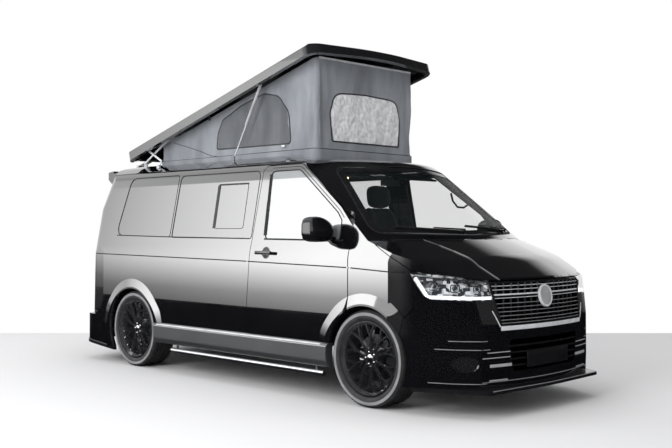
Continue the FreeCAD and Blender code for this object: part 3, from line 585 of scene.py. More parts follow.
Batch.strip, Batch.tube, Batch.slab, Batch.ring = map(adder, (strip, tube, slab, turned_profile))


# ---- camera, light and stage
scene = bpy.context.scene
cam = bpy.data.objects.new("camera", bpy.data.cameras.new("camera"))
cam.data.lens, cam.data.sensor_width = 51.33, 36.0
cam.location = (6.253, -5.911, 1.269)
cam.rotation_euler = (math.radians(90.40), 0, math.radians(45.28))
scene.collection.objects.link(cam)
scene.camera = cam
scene.view_settings.view_transform = "Standard"

world = bpy.data.worlds.new("studio")
scene.world = world
world.use_nodes = True
back = world.node_tree.nodes["Background"]
back.inputs["Strength"].default_value = 1.0
path, sep = node(world, "ShaderNodeLightPath"), node(world, "ShaderNodeSeparateXYZ")
link(world, node(world, "ShaderNodeTexCoord").outputs["Generated"], sep.inputs[0])


def ramp(m, value, stops):
    r = node(m, "ShaderNodeValToRGB")
    e = r.color_ramp.elements
    while len(e) < len(stops):
        e.new(0.5)
    for s, (p, c) in zip(e, stops):
        s.position, s.color = p, (c, c, c, 1)
    link(m, value, r.inputs["Fac"])
    return r.outputs["Color"]


def sky(axis, stops):
    """Grey levels along one axis of the direction that is looked in."""
    return ramp(world, remap(world, sep.outputs[axis], 0, 1, -1, 1), stops)


ahead = sky("X", [(0.0, 0.9), (0.40, 1.0), (0.53, 0.05), (0.8, 0.03), (1.0, 0.05)])
height = sky("Z", [(0.48, 0.05), (0.50, 1.0), (0.62, 1.0), (0.69, 0.75), (0.735, 0.02), (0.90, 0.01),
                   (0.94, 0.08), (1.0, 0.02)])
behind_y = sky("Y", [(0.0, 1.0), (0.55, 1.0), (0.66, 0.0), (1.0, 0.0)])
behind_z = sky("Z", [(0.0, 0.0), (0.66, 0.0), (0.72, 0.75), (0.93, 0.75), (0.965, 0.0), (1.0, 0.0)])
behind = math_node(world, "MULTIPLY", math_node(world, "MULTIPLY", behind_y, behind_z), ahead)
gloss = math_node(world, "MAXIMUM", math_node(world, "MULTIPLY", ahead, height), behind)
seen = math_node(world, "MAXIMUM", path.outputs["Is Camera Ray"], path.outputs["Is Transmission Ray"])
diffuse = math_node(world, "MULTIPLY_ADD", sep.outputs["X"], -0.12, 0.62)
level = node(world, "ShaderNodeMix", data_type="FLOAT")
link(world, path.outputs["Is Glossy Ray"], level.inputs["Factor"])
link(world, diffuse, level.inputs["A"])
link(world, gloss, level.inputs["B"])
final = node(world, "ShaderNodeMix", {"B": 1.0}, data_type="FLOAT")
link(world, seen, final.inputs["Factor"])
link(world, level.outputs["Result"], final.inputs["A"])
link(world, final.outputs["Result"], back.inputs["Color"])


def plane(name, corners):
    me = bpy.data.meshes.new(name)
    me.from_pydata(corners, [], [tuple(range(len(corners)))])
    o = bpy.data.objects.new(name, me)
    scene.collection.objects.link(o)
    return o


floor = plane("studio_floor", [(-10.4, -5.85, 0), (60, -5.85, 0), (60, 65, 0), (31.8, 36.8, 0)])
m = material("floor_pale", (0.78, 0.78, 0.79), 0.8, Specular_IOR_Level=0.0)
mix, dark = node(m, "ShaderNodeMixShader"), node(m, "ShaderNodeEmission", {"Color": (0.004, 0.004, 0.005, 1)})
link(m, node(m, "ShaderNodeLightPath").outputs["Is Glossy Ray"], mix.inputs["Fac"])
link(m, shader(m).outputs[0], mix.inputs[1])
link(m, dark.outputs[0], mix.inputs[2])
link(m, mix.outputs[0], m.node_tree.nodes["Material Output"].inputs["Surface"])
floor.data.materials.append(m)

wall = plane("studio_wall", [(-40, -5.86, 0), (-2.2, -5.86, 0), (-2.2, -5.86, 4), (-40, -5.86, 4)])
m = material("wall_light", (1, 1, 1))
here, em = node(m, "ShaderNodeTexCoord").outputs["Object"], node(m, "ShaderNodeEmission")
up = ramp(m, remap(m, along_axis(m, here, "Z"), 0, 1, 0, 4),
          [(0.0, 0.18), (0.07, 0.31), (0.14, 0.70), (0.19, 1.0), (1.0, 1.0)])
along = remap(m, along_axis(m, here, "X"), 1.0, 2.95, -11, -4)
link(m, math_node(m, "MULTIPLY", up, along), em.inputs["Strength"])
link(m, em.outputs[0], m.node_tree.nodes["Material Output"].inputs["Surface"])
wall.data.materials.append(m)
wall.visible_camera = wall.visible_diffuse = wall.visible_shadow = wall.visible_transmission = False


def area(name, at, aim, size, watts):
    d = bpy.data.lights.new(name, "AREA")
    d.energy, d.size, d.shape = watts, size, "SQUARE"
    o = bpy.data.objects.new(name, d)
    o.location = at
    o.rotation_euler = (Vector(aim) - Vector(at)).to_track_quat("-Z", "Y").to_euler()
    o.visible_glossy = False
    scene.collection.objects.link(o)


area("key", (2.0, -8.0, 4.0), (0, 0, 1.4), 4.0, 420)
area("fill", (-7.0, -5.0, 4.0), (0, 0, 1.4), 4.0, 160)
area("top", (0.0, 0.0, 7.0), (0, 0, 1.0), 5.0, 160)

# ---- outlines shared with the panels (mm)
DOOR_WINDOW = [(420, 1205, 40), (388, 1746, 60), (735, 1746, 90), (1212, 1404, 60), (1262, 1345, 30),
               (1262, 1200, 30)]
MID_WINDOW = [(-866, 1210, 30), (-846, 1758, 60), (258, 1758, 60), (246, 1205, 30)]
QUARTER_WINDOW = [(-1784, 1228, 90), (-1650, 1766, 110), (-874, 1766, 30), (-894, 1215, 30)]
QUARTER_LEFT = [(-1784, 1228, 90), (-1650, 1766, 110), (-934, 1766, 30), (-954, 1215, 30)]
SLIDER_WINDOW = [(-846, 1210, 40), (-828, 1752, 50), (152, 1752, 50), (146, 1206, 40)]
SCREEN = [(-850, 1252, 60), (-664, 1762, 90), (0, 1786, 3000), (664, 1762, 90), (850, 1252, 60),
          (0, 1232, 4000)]
REAR_WINDOW = [(610, 1730, 90), (690, 1215, 60), (-690, 1215, 60), (-610, 1730, 90)]
PANE = [(-270, 1287, 30), (-270, 1660, 30), (120, 1660, 30), (120, 1287, 30)]

right_skin = tree("body_side_right", "door_right", "side_windows", "door_glass_right", "pillar_frame",
                  "front_wings")
left_skin = tree("body_side_left", "door_left", "sliding_door", "side_windows", "door_glass_left",
                 "pillar_frame", "front_wings")


def seal(name, outline, skin, axis, body, width=0.016, height=0.003, grow=1, mat=SEAL):
    line = draped(skin, rounded(grown(outline, grow)), axis)
    Batch().strip(line, width, height).done(name, mat, "trim_plastic", body)


def edge(name, points, skin, axis, body, width, height=0.002, mat=SEAL, slot="trim_plastic"):
    """Thin line draped on a skin along an open run of points in mm."""
    return Batch().strip(draped(skin, rounded(points, False), axis), width, height, False).done(
        name, mat, slot, body)


SKINS = {"right": right_skin, "left": left_skin}
for side, part, outline in (
        ("right", "door", DOOR_WINDOW), ("left", "door", DOOR_WINDOW), ("right", "mid", MID_WINDOW),
        ("right", "quarter", QUARTER_WINDOW), ("left", "slider", SLIDER_WINDOW),
        ("left", "quarter", QUARTER_LEFT)):
    body, width, height = ("door_" + side, 0.008, 0.003) if part == "door" else ("body", 0.007, 0.002)
    seal("seal_%s_%s" % (part, side), outline, SKINS[side], side, body, width, height)
for tag, skin in SKINS.items():
    edge("belt_door_" + tag, [(410, 1203), (1300, 1197)], skin, tag, "door_" + tag, 0.013, 0.0025)
    edge("belt_side_" + tag, [(-1765, 1226), (-880, 1213), (215, 1205)], skin, tag, "body", 0.009, 0.0025)
seal("pane_frame", PANE, right_skin, "right", "body", 0.005, 0.002, 0, GLOSS)
edge("pane_rear_edge", [(-270, 1290), (-270, 1657)], right_skin, "right", "body", 0.034, 0.004, TRIM)
edge("pane_top_edge", [(-272, 1660), (120, 1660)], right_skin, "right", "body", 0.014, 0.003, TRIM)
HANDLE_Z, DISH_R = 1.094, 0.046
CREASE = [(-2290, 1048.5), (130, 1022.5), (1370, 1000.5), (1918, 974.5)]


def crease_between(x0, x1):
    """Run of the side crease between two places along the van, in mm."""
    def height(x):
        for (xa, za), (xb, zb) in zip(CREASE, CREASE[1:]):
            if xa <= x <= xb:
                return za + (zb - za) * (x - xa) / (xb - xa)
    return [(x0, height(x0))] + [p for p in CREASE if x0 < p[0] < x1] + [(x1, height(x1))]


# the dark strip along the side crease is a painted shadow line
for tag, skin in SKINS.items():
    for part, x0, x1, body in (("side", -2285, 204, "body"), ("door", 222, 1346, "door_" + tag),
                               ("wing", 1372, 1900, "body")):
        edge("crease_%s_%s" % (part, tag), crease_between(x0, x1), skin, tag, body, 0.009, 0.0015)
    edge("door_frame_line_" + tag, [(398, 1774), (742, 1774, 100), (1226, 1425, 60), (1284, 1366)], skin, tag,
         "door_" + tag, 0.005, 0.0015)
    edge("window_post_" + tag, [(414, 1232), (393, 1722)], skin, tag, "door_" + tag, 0.034, 0.003)
    for name, x, body in (("door", 0.451, "door_" + tag), ("slider", 0.051, "body")):
        if (name, tag) == ("slider", "right"):
            continue
        # handle recess drawn flat on the skin: a pale ring as painted highlight round a dark disc as painted
        # shade
        rim = draped(skin, [(x + DISH_R * math.cos(a), HANDLE_Z + DISH_R * math.sin(a)) for a in circle(36)],
                     tag)
        Batch().strip(rim, 0.005, 0.0015).done("handle_highlight_ring_%s_%s" % (name, tag), PALE_HIGHLIGHT, "gloss_trim", body)
        Batch().add(*fan([p + n * 0.0006 for p, n in rim])).done(
            "handle_recess_shade_%s_%s" % (name, tag), GLOSS, "gloss_trim", body, False)
        y0, y1 = (-0.9900, -0.9725) if tag == "right" else (0.9725, 0.9900)
        Batch().slab(x - 0.097, x + 0.097, y0, y1, HANDLE_Z - 0.0145, HANDLE_Z + 0.0145, 0.007).done(
            "handle_grip_%s_%s" % (name, tag), CASE, "gloss_trim", body)
    # painted highlight: a light strip along the top edge of the skirts
    edge("skirt_top_highlight_" + tag, [(-1050, 424), (1085, 424)], tree("side_skirts"), tag, "body", 0.014, 0.002,
         LIGHT, "gloss_trim")
tail_skin = tree("tailgate", "tailgate_window")
seal("seal_tailgate", REAR_WINDOW, tail_skin, "rear", "tailgate", 0.014)
screen_skin = tree("windscreen", "pillar_frame", "roof_panel")
seal("seal_screen", SCREEN, screen_skin, "front", "body", 0.014, 0.003, 3)
seal("screen_band", SCREEN, screen_skin, "front", "body", 0.045, 0.0012, -24, GLOSS)

# ---- canvas of the pop-top
BASE_Z, HINGE, OPEN = 1.932, Vector((-2.140, 1.925)), math.radians(15.34)
RIM_Z, LID_UNDER = 1.881, 0.028             # shut lid: its rim, and its underside above the rim
TENT_BACK, TENT_FRONT, TENT_HALF, TENT_CORNER = -1.516, 0.654, 0.594, 0.050
TENT_MID, TENT_LONG = (TENT_BACK + TENT_FRONT) / 2, (TENT_FRONT - TENT_BACK) / 2


def roof_under(x):
    return HINGE.y + (x - HINGE.x) * math.tan(OPEN) + (RIM_Z - HINGE.y + LID_UNDER) / math.cos(OPEN)


ring = rounded([(x * 1000, y * 1000, TENT_CORNER * 1000) for x, y in (
    (TENT_BACK, -TENT_HALF), (TENT_FRONT, -TENT_HALF), (TENT_FRONT, TENT_HALF), (TENT_BACK, TENT_HALF))],
    True, 0.014)
ROWS = 44


def cloth_point(u, v, t):
    """Point of the canvas over (u, v) of its foot, t of the way up, with its folds."""
    top = roof_under(u)
    z = BASE_Z + (top - BASE_Z) * t
    h = top - BASE_Z
    loose = math.sin(math.pi * t) ** 0.5 if 0 < t < 1 else 0
    side = abs(v) > 0.55
    along = u if side else v
    tension = noise.noise(Vector((along * 2.6 + z * 1.3, z * 0.9, 3.1 if side else 7.7)))
    pleat = noise.noise(Vector((along * 8.5 - z * 2.5, z * 1.6, 1.7 if side else 5.2)))
    small = noise.noise(Vector((along * 20, z * 9, 9.3 if side else 2.8)))
    near_corner = math.exp(-((u - 0.60) / 0.16) ** 2) * math.exp(-((abs(v) - TENT_HALF) / 0.12) ** 2)
    fluting = math.sin(((u if side else v) * 62) + z * 2.0) * near_corner
    wrinkle = -0.007 + 0.014 * tension + 0.013 * pleat + 0.005 * small + 0.011 * fluting
    d = loose * wrinkle * min(1, h / 0.35)
    out = Vector((math.copysign(max(0, abs(u - TENT_MID) - TENT_LONG + TENT_CORNER), u - TENT_MID),
                  math.copysign(max(0, abs(v) - TENT_HALF + TENT_CORNER), v), 0))
    out = out.normalized() if out.length > 1e-6 else Vector((0, math.copysign(1, v), 0))
    return Vector((u, v, z)) + out * d, out


verts = [cloth_point(u, v, j / ROWS)[0] for u, v in ring for j in range(ROWS + 1)]
canvas = Batch().add(verts, grid(len(ring), ROWS + 1, True)).done("canvas_cloth", CANVAS, "canvas_grey")
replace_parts(canvas, "canvas")
spans = [((q - p).length, roof_under(q.x) - BASE_Z) for p, q in zip(ring[-1:] + ring, ring)]
tent = [canvas]


def hang(batch, name, mat):
    """Piece of the tent, made and put in the list of tent pieces."""
    tent.append(batch.done(name, mat, "canvas_grey"))


def on_canvas(u, v, z):
    """Point and outward normal on the canvas at a height."""
    t = (z - BASE_Z) / (roof_under(u) - BASE_Z)
    return cloth_point(u, v, min(1, max(0, t)))


def canvas_line(flat, side):
    """(point, normal) pairs on one side of the canvas from (u, z) points."""
    out = []
    for a, z in flat:
        out.append(on_canvas(a, TENT_HALF * side, z) if side else on_canvas(TENT_FRONT, a, z))
    return out


def patch(flat_outline, side, mat, name, lift):
    """Filled panel on the canvas inside an outline of (u, z) points."""
    us = [p[0] for p in flat_outline]
    u0, u1 = min(us), max(us)
    rows, cols, verts = 18, 30, []
    for i in range(cols + 1):
        u = u0 + (u1 - u0) * (0.001 + 0.998 * i / cols)
        zs = []
        for k in range(len(flat_outline)):
            (a, za), (b, zb) = flat_outline[k - 1], flat_outline[k]
            if (a - u) * (b - u) <= 0 and a != b:
                zs.append(za + (zb - za) * (u - a) / (b - a))
        lo, hi = min(zs), max(zs)
        line = canvas_line([(u, lo + (hi - lo) * j / rows) for j in range(rows + 1)], side)
        verts += [p + out * lift for p, out in line]
    hang(Batch().add(verts, grid(cols + 1, rows + 1)), name, mat)


def window(outline, side, mat, panel, tag, lift=0.002, welt=(0.011, 0.004)):
    """Panel over an opening of the canvas, with a welt round it."""
    patch(rounded(outline), side, mat, panel + tag, lift)
    hang(Batch().strip(canvas_line(rounded(outline), side), *welt), "canvas_welt_" + tag, PIPING)


MESH = cloth("window_mesh", (0.17, 0.18, 0.195), (0.095, 0.10, 0.11))
FILM = material("window_film", (0.8, 0.82, 0.84), 0.25, Coat_Weight=0.6, Coat_Roughness=0.08)
crush = node(FILM, "ShaderNodeTexVoronoi", {"Scale": 26}, feature="F1")
link(FILM, place(FILM), crush.inputs["Vector"])
blend_color(FILM, remap(FILM, grain(FILM, 30, 6), 0, 1, 0.35, 0.65), (0.70, 0.72, 0.75), (0.98, 0.98, 0.99))
bumps(FILM, (crush.outputs["Distance"], 0.5, 0.012), (grain(FILM, 34, 5, (1, 1, 0.35)), 0.7, 0.008))

SIDE_OPENING = [(-650, 2002, 30), (-636, 2150, 60), (-560, 2262, 60), (-300, 2365, 300), (20, 2438, 150),
                (200, 2400, 150), (330, 2250, 150), (338, 1992, 30)]
FRONT_OPENING = [(-410, 2004, 20), (-420, 2240, 150), (-366, 2400, 110), (0, 2420, 900), (366, 2400, 110),
                 (420, 2240, 150), (410, 2004, 20)]
for s, tag in ((-1, "right"), (1, "left")):
    window(SIDE_OPENING, s, MESH, "canvas_mesh_", tag)
window(FRONT_OPENING, 0, FILM, "canvas_film_", "front", 0.003, (0.012, 0.005))

piping = Batch().strip([cloth_point(a, b, 0.006) for a, b in ring], 0.006, 0.004)
BACK_SEAM = [(-1310, 2104), (-932, 2011, 40), (-735, 1950, 40), (-640, 1938)]
for side in (-1, 1):
    piping.strip(canvas_line(rounded(BACK_SEAM, False), side), 0.005, 0.003, False)
    piping.slab(-0.738, -0.720, side * 0.612 - 0.007, side * 0.612 + 0.007, 2.268, 2.306, 0.004)
hang(piping, "canvas_seams", PIPING)
bead = Batch().strip(canvas_line([(v / 100, 2.716) for v in range(-56, 57, 4)], 0), 0.016, 0.008, False)
hang(bead, "canvas_bead", LIGHT)
clips = Batch()
for side in (-1, 1):
    clips.slab(0.252, 0.292, side * 0.607 - 0.006, side * 0.607 + 0.006, 1.966, 1.984, 0.003)
hang(clips, "canvas_clips", LIGHT)
for o in tent:
    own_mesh(o)

# ---- tyres
PROFILE = [(0.2703, 0.100), (0.276, 0.1085), (0.286, 0.1125), (0.290, 0.1160), (0.294, 0.1165),
           (0.300, 0.1175), (0.312, 0.1185), (0.3235, 0.1165), (0.3255, 0.1185), (0.3305, 0.1180),
           (0.3325, 0.1150), (0.340, 0.1110), (0.346, 0.1060), (0.3495, 0.098), (0.3515, 0.086)]
half = PROFILE + [(0.352, 0.0705), (0.3445, 0.070), (0.3445, 0.062), (0.352, 0.0615), (0.352, 0.0235),
                  (0.3445, 0.023), (0.3445, 0.015), (0.352, 0.0145)]
full = half + [(r, -y) for r, y in reversed(half)]
closed_profile = full + full[:1]
TREAD_STEPS, SIPE_DEPTH = 180, 0.0045
TREAD_R, TREAD_INNER, TREAD_OUTER = 0.3514, 0.02, 0.1   # ribs that carry sipes
RUBBER = material("tyre_rubber", (0.016, 0.016, 0.017), 0.55, Specular_IOR_Level=0.6)
blend_color(RUBBER, remap(RUBBER, grain(RUBBER, 14, 5), 0, 1), (0.020, 0.020, 0.021), (0.040, 0.040, 0.042))
vary(RUBBER, "Roughness", grain(RUBBER, 22, 4), 0.42, 0.66)
bumps(RUBBER, (grain(RUBBER, 500, 3), 0.3, 0.0006))
# pale ring on the tyre sidewall: a painted sheen
SIDEWALL_SHEEN = plastic("tyre_painted_sheen", (0.2, 0.2, 0.21), 0.45, 400, 0.0002)
for tag in WHEELS:
    lo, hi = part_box("tyre_" + tag)
    c = (lo + hi) / 2
    v, f = turned_profile(closed_profile, c, 1, TREAD_STEPS)
    k = len(closed_profile)
    v = [Vector(p) for p in v]
    for i in range(TREAD_STEPS):
        for j, (r, y) in enumerate(closed_profile):
            on_tread = r > TREAD_R and TREAD_INNER < abs(y) < TREAD_OUTER
            if on_tread and (i + (1 if y > 0 else 0) + int(abs(y) * 60)) % 3 == 0:
                p = v[i * k + j] - c
                s = 1 - SIPE_DEPTH / r
                v[i * k + j] = c + Vector((p.x * s, p.y, p.z * s))
    o = Batch().add(v, f).done("tyre_" + tag + "_tread", RUBBER, "tyre_rubber", "wheel_" + tag)
    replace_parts(o, "tyre_" + tag)
    s = -1 if "right" in tag else 1
    sheen_ring = Batch().ring([(0.3085, 0.1180), (0.3095, 0.1192), (0.3270, 0.1200), (0.3305, 0.1200),
                         (0.3315, 0.1178)], c, s, 120)
    sheen_ring.done("tyre_" + tag + "_painted_sheen", SIDEWALL_SHEEN, "tyre_rubber", "wheel_" + tag)
    hub = Batch()
    hub.ring([(0.0001, 0.082), (0.020, 0.0815), (0.028, 0.079), (0.030, 0.0745)], c, s, 40)
    for q in range(5):
        a = math.radians(72 * q + 36)
        p = c + Vector((0.045 * math.cos(a), 0, 0.045 * math.sin(a)))
        hub.ring([(0.0001, 0.0775), (0.006, 0.0775), (0.0095, 0.0755), (0.0095, 0.0735)], p, s, 6)
    hub.done("hub_cap_" + tag, CHROME, "wheel_paint", "wheel_" + tag)

# ---- headlamps
lens_skin = tree("headlamp_lenses")
LAMP_PIVOT = (1.86, -0.42)   # point inside the right lamp that azimuths are taken about


def lamp_hit(az, z, depth):
    """Point and outward direction behind the right lens at an azimuth (degrees) and height."""
    a = math.radians(az)
    d = Vector((math.cos(a), math.sin(a), 0))
    h = cast(lens_skin, Vector((*LAMP_PIVOT, z)) + d * 3, -d)
    return (h[0] - d * depth, d) if h and h[0].y < 0 else None


def lamp_line(points, depth):
    return [h for h in (lamp_hit(a, z, depth) for a, z in points) if h]


light = Batch()
lower = lamp_line([(-74 + 59 * i / 40, 0.8145 - 0.006 * i / 40) for i in range(41)], 0.014)
inner = lamp_line([(-15, 0.812 + 0.07 * i / 8) for i in range(9)], 0.014)
light.strip(lower, 0.020, 0.006, False)
light.strip(inner, 0.018, 0.006, False)
rear_edge = []
for i in range(13):
    z = 0.820 + 0.125 * i / 12
    az = next((a / 4 for a in range(-440, -200) if lamp_hit(a / 4, z, 0)), None)
    if az is not None:
        rear_edge.append((az + 2.2, z))
light.strip(lamp_line(rear_edge, 0.012), 0.020, 0.006, False)
light.both().done("running_lights", WHITE_LIGHT, "clear_glass")
upper = lamp_line([(-84 + 69 * i / 40, 0.955 - 0.035 * i / 40) for i in range(41)], 0.012)
brow = Batch().strip(upper, 0.010, 0.004, False)
brow.both().done("lamp_brow", CHROME, "satin_metal")
cells, bulbs = Batch(), Batch()
CELL = rounded([(-1000, -800, 300), (1000, -800, 300), (1000, 800, 300), (-1000, 800, 300)], True, 0.2)
for az, z, s in ((-63, 0.885, 0.030), (-45, 0.875, 0.030), (-27, 0.868, 0.026)):
    h = lamp_hit(az, z, 0.030)
    if not h:
        continue
    p, d = h
    rot = Matrix.Translation(p) @ d.to_track_quat("X", "Z").to_matrix().to_4x4()
    cells.add(*moved(tube([Vector((0.004, a * s, b * s)) for a, b in CELL], 0.004, 8, True), rot))
    dome = [(r * s * 0.72, 0.016 * math.sqrt(max(0, 1 - r * r)) - 0.006)
            for r in (0.001, 0.3, 0.55, 0.75, 0.9, 1.0)]
    bulbs.add(*moved(turned_profile(dome, (0, 0, 0), 1, 28), rot @ Matrix.Rotation(-math.pi / 2, 4, "Z")))
cells.both().done("lamp_cells", CHROME, "satin_metal")
bulbs.both().done("lamp_bulbs", metal("projector", (0.7, 0.75, 0.8), 0.12), "clear_glass")

# ---- grille and front trim, with strips that are painted highlights
grille_skin = tree("grille")
# light and pale strips on the slats: partly the slats' real silver edges, partly painted highlight
bright_slat_highlights, dim_slat_highlights, fins = Batch(), Batch(), Batch()


def front_line(skin, y0, y1, z, step=0.02):
    return run(skin, (y0, z), (y1, z), max(2, int(abs(y1 - y0) / step)), "front")


def grille_half(z):
    """Half width of the grille's opening at a height."""
    return 0.566 - (0.917 - z) * 0.2


EMBLEM_HALF = 0.068
for z, h in ((886, 9), (860, 9), (816, 30), (766, 9), (738, 9), (710, 9), (682, 9), (654, 9), (632, 9)):
    end = grille_half(z / 1000) - 0.016
    spans = [(-end, -EMBLEM_HALF), (EMBLEM_HALF, end)] if abs(z - 816) < 62 else [(-end, end)]
    for y0, y1 in spans:
        line = front_line(grille_skin, y0, y1, z / 1000 + (h / 2 - 2.5) / 1000)
        (bright_slat_highlights if z > 800 else dim_slat_highlights).strip(line, 0.0045 if h < 20 else 0.010, 0.0015, False)
    if h > 20:
        for y0, y1 in spans:
            bright_slat_highlights.strip(front_line(grille_skin, y0, y1, z / 1000 - 0.011), 0.004, 0.0015, False)
for i in range(-7, 8):
    y = i * 0.072
    for z0, z1 in ((0.632, 0.803), (0.829, 0.905)):
        if abs(y) > grille_half(z0) - 0.02 or (abs(y) < 0.07 and z1 > 0.76):
            continue
        hits = draped(grille_skin, [(y, 0.816 if abs(y) > 0.07 else 0.738)], "front")
        x = hits[0][0].x if hits else 2.43
        fins.slab(x - 0.020, x - 0.006, y - 0.0013, y + 0.0013, z0, z1, 0.0005)
bright_slat_highlights.done("grille_bright_painted_highlights", LIGHT, "satin_metal")
dim_slat_highlights.done("grille_slat_painted_highlights", PALE_HIGHLIGHT, "satin_metal")
fins.done("grille_fins", FIN, "gloss_trim")
low_x, high_x = (draped(grille_skin, [(0.0, z)], "front")[0][0].x for z in (0.775, 0.855))
lean = math.atan2(low_x - high_x, 0.080)
at_emblem = (Matrix.Translation(((low_x + high_x) / 2 + 0.002, 0, 0.806)) @ Matrix.Rotation(-lean, 4, "Y")
             @ Matrix.Rotation(-math.pi / 2, 4, "Z"))
for name, profile, mat in (
        ("emblem_disc", [(0.001, 0.012), (0.03, 0.0112), (0.055, 0.0095), (0.068, 0.0065)], GREY),
        ("emblem_ring", [(0.066, 0.0065), (0.069, 0.0105), (0.077, 0.0105), (0.081, 0.006), (0.081, -0.006)],
         LIGHT)):
    Batch().add(*moved(turned_profile(profile, (0, 0, 0), 1, 48), at_emblem)).done(name, mat, "satin_metal")
bumper_skin = tree("front_bumper", "grille", "front_wings")
# light ribbon under the grille and thin strips down its lower sides: painted highlights
ledge_highlight = Batch().strip(front_line(bumper_skin, -0.50, 0.50, 0.600), 0.030, 0.004, False)
for side in (-1, 1):
    ledge_highlight.strip(draped(bumper_skin, rounded([(side * 566, 722), (side * 508, 612)], False), "front"),
              0.007, 0.003, False)
ledge_highlight.done("grille_lower_painted_highlight", LIGHT, "satin_metal")
# grey and pale strips across the bumper and splitter are painted highlights
bumper_highlights, faint_bumper_highlights = Batch(), Batch()
for side in (-1, 1):
    for z, y0, y1, wide in ((0.440, 0.34, 0.62, 0.006), (0.404, 0.40, 0.66, 0.006),
                            (0.350, 0.30, 0.60, 0.020), (0.250, 0.44, 0.60, 0.010)):
        line = run(bumper_skin, (side * y0, z), (side * y1, z), 14, "front")
        bumper_highlights.strip(line, wide, 0.003, False)
    for z, y0, y1 in ((0.520, 0.62, 0.80), (0.462, 0.60, 0.84), (0.232, 0.62, 0.86)):
        line = run(bumper_skin, (side * y0, z), (side * y1, z), 14, "front")
        faint_bumper_highlights.strip(line, 0.005, 0.002, False)
lip_skin = tree("bumper_lips", "front_bumper")
for z in (0.192, 0.240):
    faint_bumper_highlights.strip(front_line(lip_skin, -0.66, 0.66, z, 0.03), 0.006, 0.002, False)
bumper_highlights.done("bumper_painted_highlights", GREY, "satin_metal")
faint_bumper_highlights.done("bumper_faint_painted_highlights", PALE_HIGHLIGHT, "gloss_trim")
MATRIX = metal("radiator_core", (0.03, 0.03, 0.032), 0.5)
bumps(MATRIX, (wave(MATRIX, 60, "Y"), 0.8, 0.003), (wave(MATRIX, 25, "Z"), 0.8, 0.003))
core = Batch().slab(2.262, 2.276, -0.50, 0.50, 0.235, 0.580, 0.004)
core.slab(2.262, 2.276, -0.55, 0.55, 0.600, 0.900, 0.004)
core.done("radiator", MATRIX, "engine_iron")
PLATE_X = 2.44   # in front of the open intake
Batch().slab(PLATE_X - 0.004, PLATE_X + 0.004, -0.26, 0.26, 0.318, 0.432, 0.003).done(
    "front_plate_blank", GLOSS, "gloss_trim")

# ---- wipers, mirrors and small fittings
wiper = Batch()
for y0, y1, z0, z1 in ((0.62, 0.02, 1.262, 1.300), (-0.06, -0.66, 1.256, 1.290)):
    pts = run(screen_skin, (y0, z0), (y1, z1), 16, "front")
    (foot, out), (mid, mid_out) = pts[0], pts[8]
    wiper.tube([p + n * 0.012 for p, n in pts], 0.0055)
    wiper.strip(pts, 0.006, 0.010, False)
    arm = [foot + Vector((0.004, 0.012, -0.004)) + out * 0.006, foot + out * 0.03, mid + mid_out * 0.026]
    wiper.tube(arm, [0.010, 0.007, 0.005])
wiper.done("wipers", TRIM, "trim_plastic")


MIRROR_AT, MIRROR_SIZE, MIRROR_FLAT = (1.158, -1.059, 1.279), (0.205, 0.218, 0.190), 0.62


def housing(q):
    """Mirror housing: flat at the rear, its crown falling away toward the door."""
    fall = max(0.0, 0.35 + q.y) / 1.35
    x = max(q.x, -MIRROR_FLAT) * (1 - 0.30 * max(0.0, q.z) * (q.x > 0))
    return Vector((x, q.y, q.z - 0.42 * fall ** 2 * max(0.0, q.z + 0.2)))


for s, tag in ((-1, "right"), (1, "left")):
    body = "door_" + tag
    shell = Batch().add(*pillow(MIRROR_SIZE, MIRROR_AT, 0, 3.4, 16, housing))
    shell.add(*pillow((0.070, 0.170, 0.034), (1.170, -0.985, 1.202), 0, 3.0, 8))
    shell.add(*pillow((0.085, 0.030, 0.048), (1.180, -0.925, 1.206), 0.1, 3.0, 8))
    rear = MIRROR_AT[0] - MIRROR_FLAT * MIRROR_SIZE[0] / 2
    flat = rounded([(-1152, 1206, 40), (-1148, 1352, 45), (-1060, 1352, 70), (-968, 1262, 30),
                    (-968, 1206, 20)])
    if s > 0:
        shell = shell.mirror()
    shell = shell.done("mirror_shell_" + tag, CASE, "body_paint", body)
    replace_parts(shell, "mirror_" + tag)
    rim = [(Vector((rear, -s * u, v)), Vector((-1, 0, 0))) for u, v in flat]
    Batch().strip(rim, 0.006, 0.003).done("mirror_rim_" + tag, TRIM, "trim_plastic", body)
    Batch().add(*fan([p - Vector((0.0015, 0, 0)) for p, _ in rim])).done(
        "mirror_glass_" + tag, CHROME, "clear_glass", body, False)

# ---- cabin fittings
cabin = Batch()
cabin.slab(0.915, 0.935, -0.115, 0.115, 1.638, 1.694, 0.009)
cabin.tube([(0.925, 0, 1.680), (0.950, 0, 1.705), (0.962, 0, 1.722)], 0.008)
for y in (-0.40, 0.40):
    cabin.add(*moved(slab(-0.09, 0.09, -0.21, 0.21, -0.008, 0.008, 0.006),
                     Matrix.Translation((0.835, y, 1.725)) @ Matrix.Rotation(0.25, 4, "Y")))
for y in (-1, 1):
    cabin.tube([(0.955, 0.765 * y, 1.600), (0.978, 0.762 * y, 1.530), (1.030, 0.762 * y, 1.476),
                (1.092, 0.768 * y, 1.470), (1.130, 0.775 * y, 1.492)], 0.009)
DASH = plastic("dash_top", (0.07, 0.078, 0.082), 0.45, 260, 0.0012)
Batch().add(*pillow((0.36, 1.50, 0.130), (1.330, 0, 1.185), 0.05, 6.0, 20)).done(
    "dash_cover", DASH, "trim_plastic")
cabin.done("cabin_fittings", SOFT, "trim_plastic")
Batch().slab(0.935, 0.965, -0.600, -0.535, 1.676, 1.690, 0.003).done(
    "cabin_light", CABIN_LIGHT, "clear_glass")

# ---- seats
CLOTH_FRAMES, SEAM_WIDTH = 20, 0.007


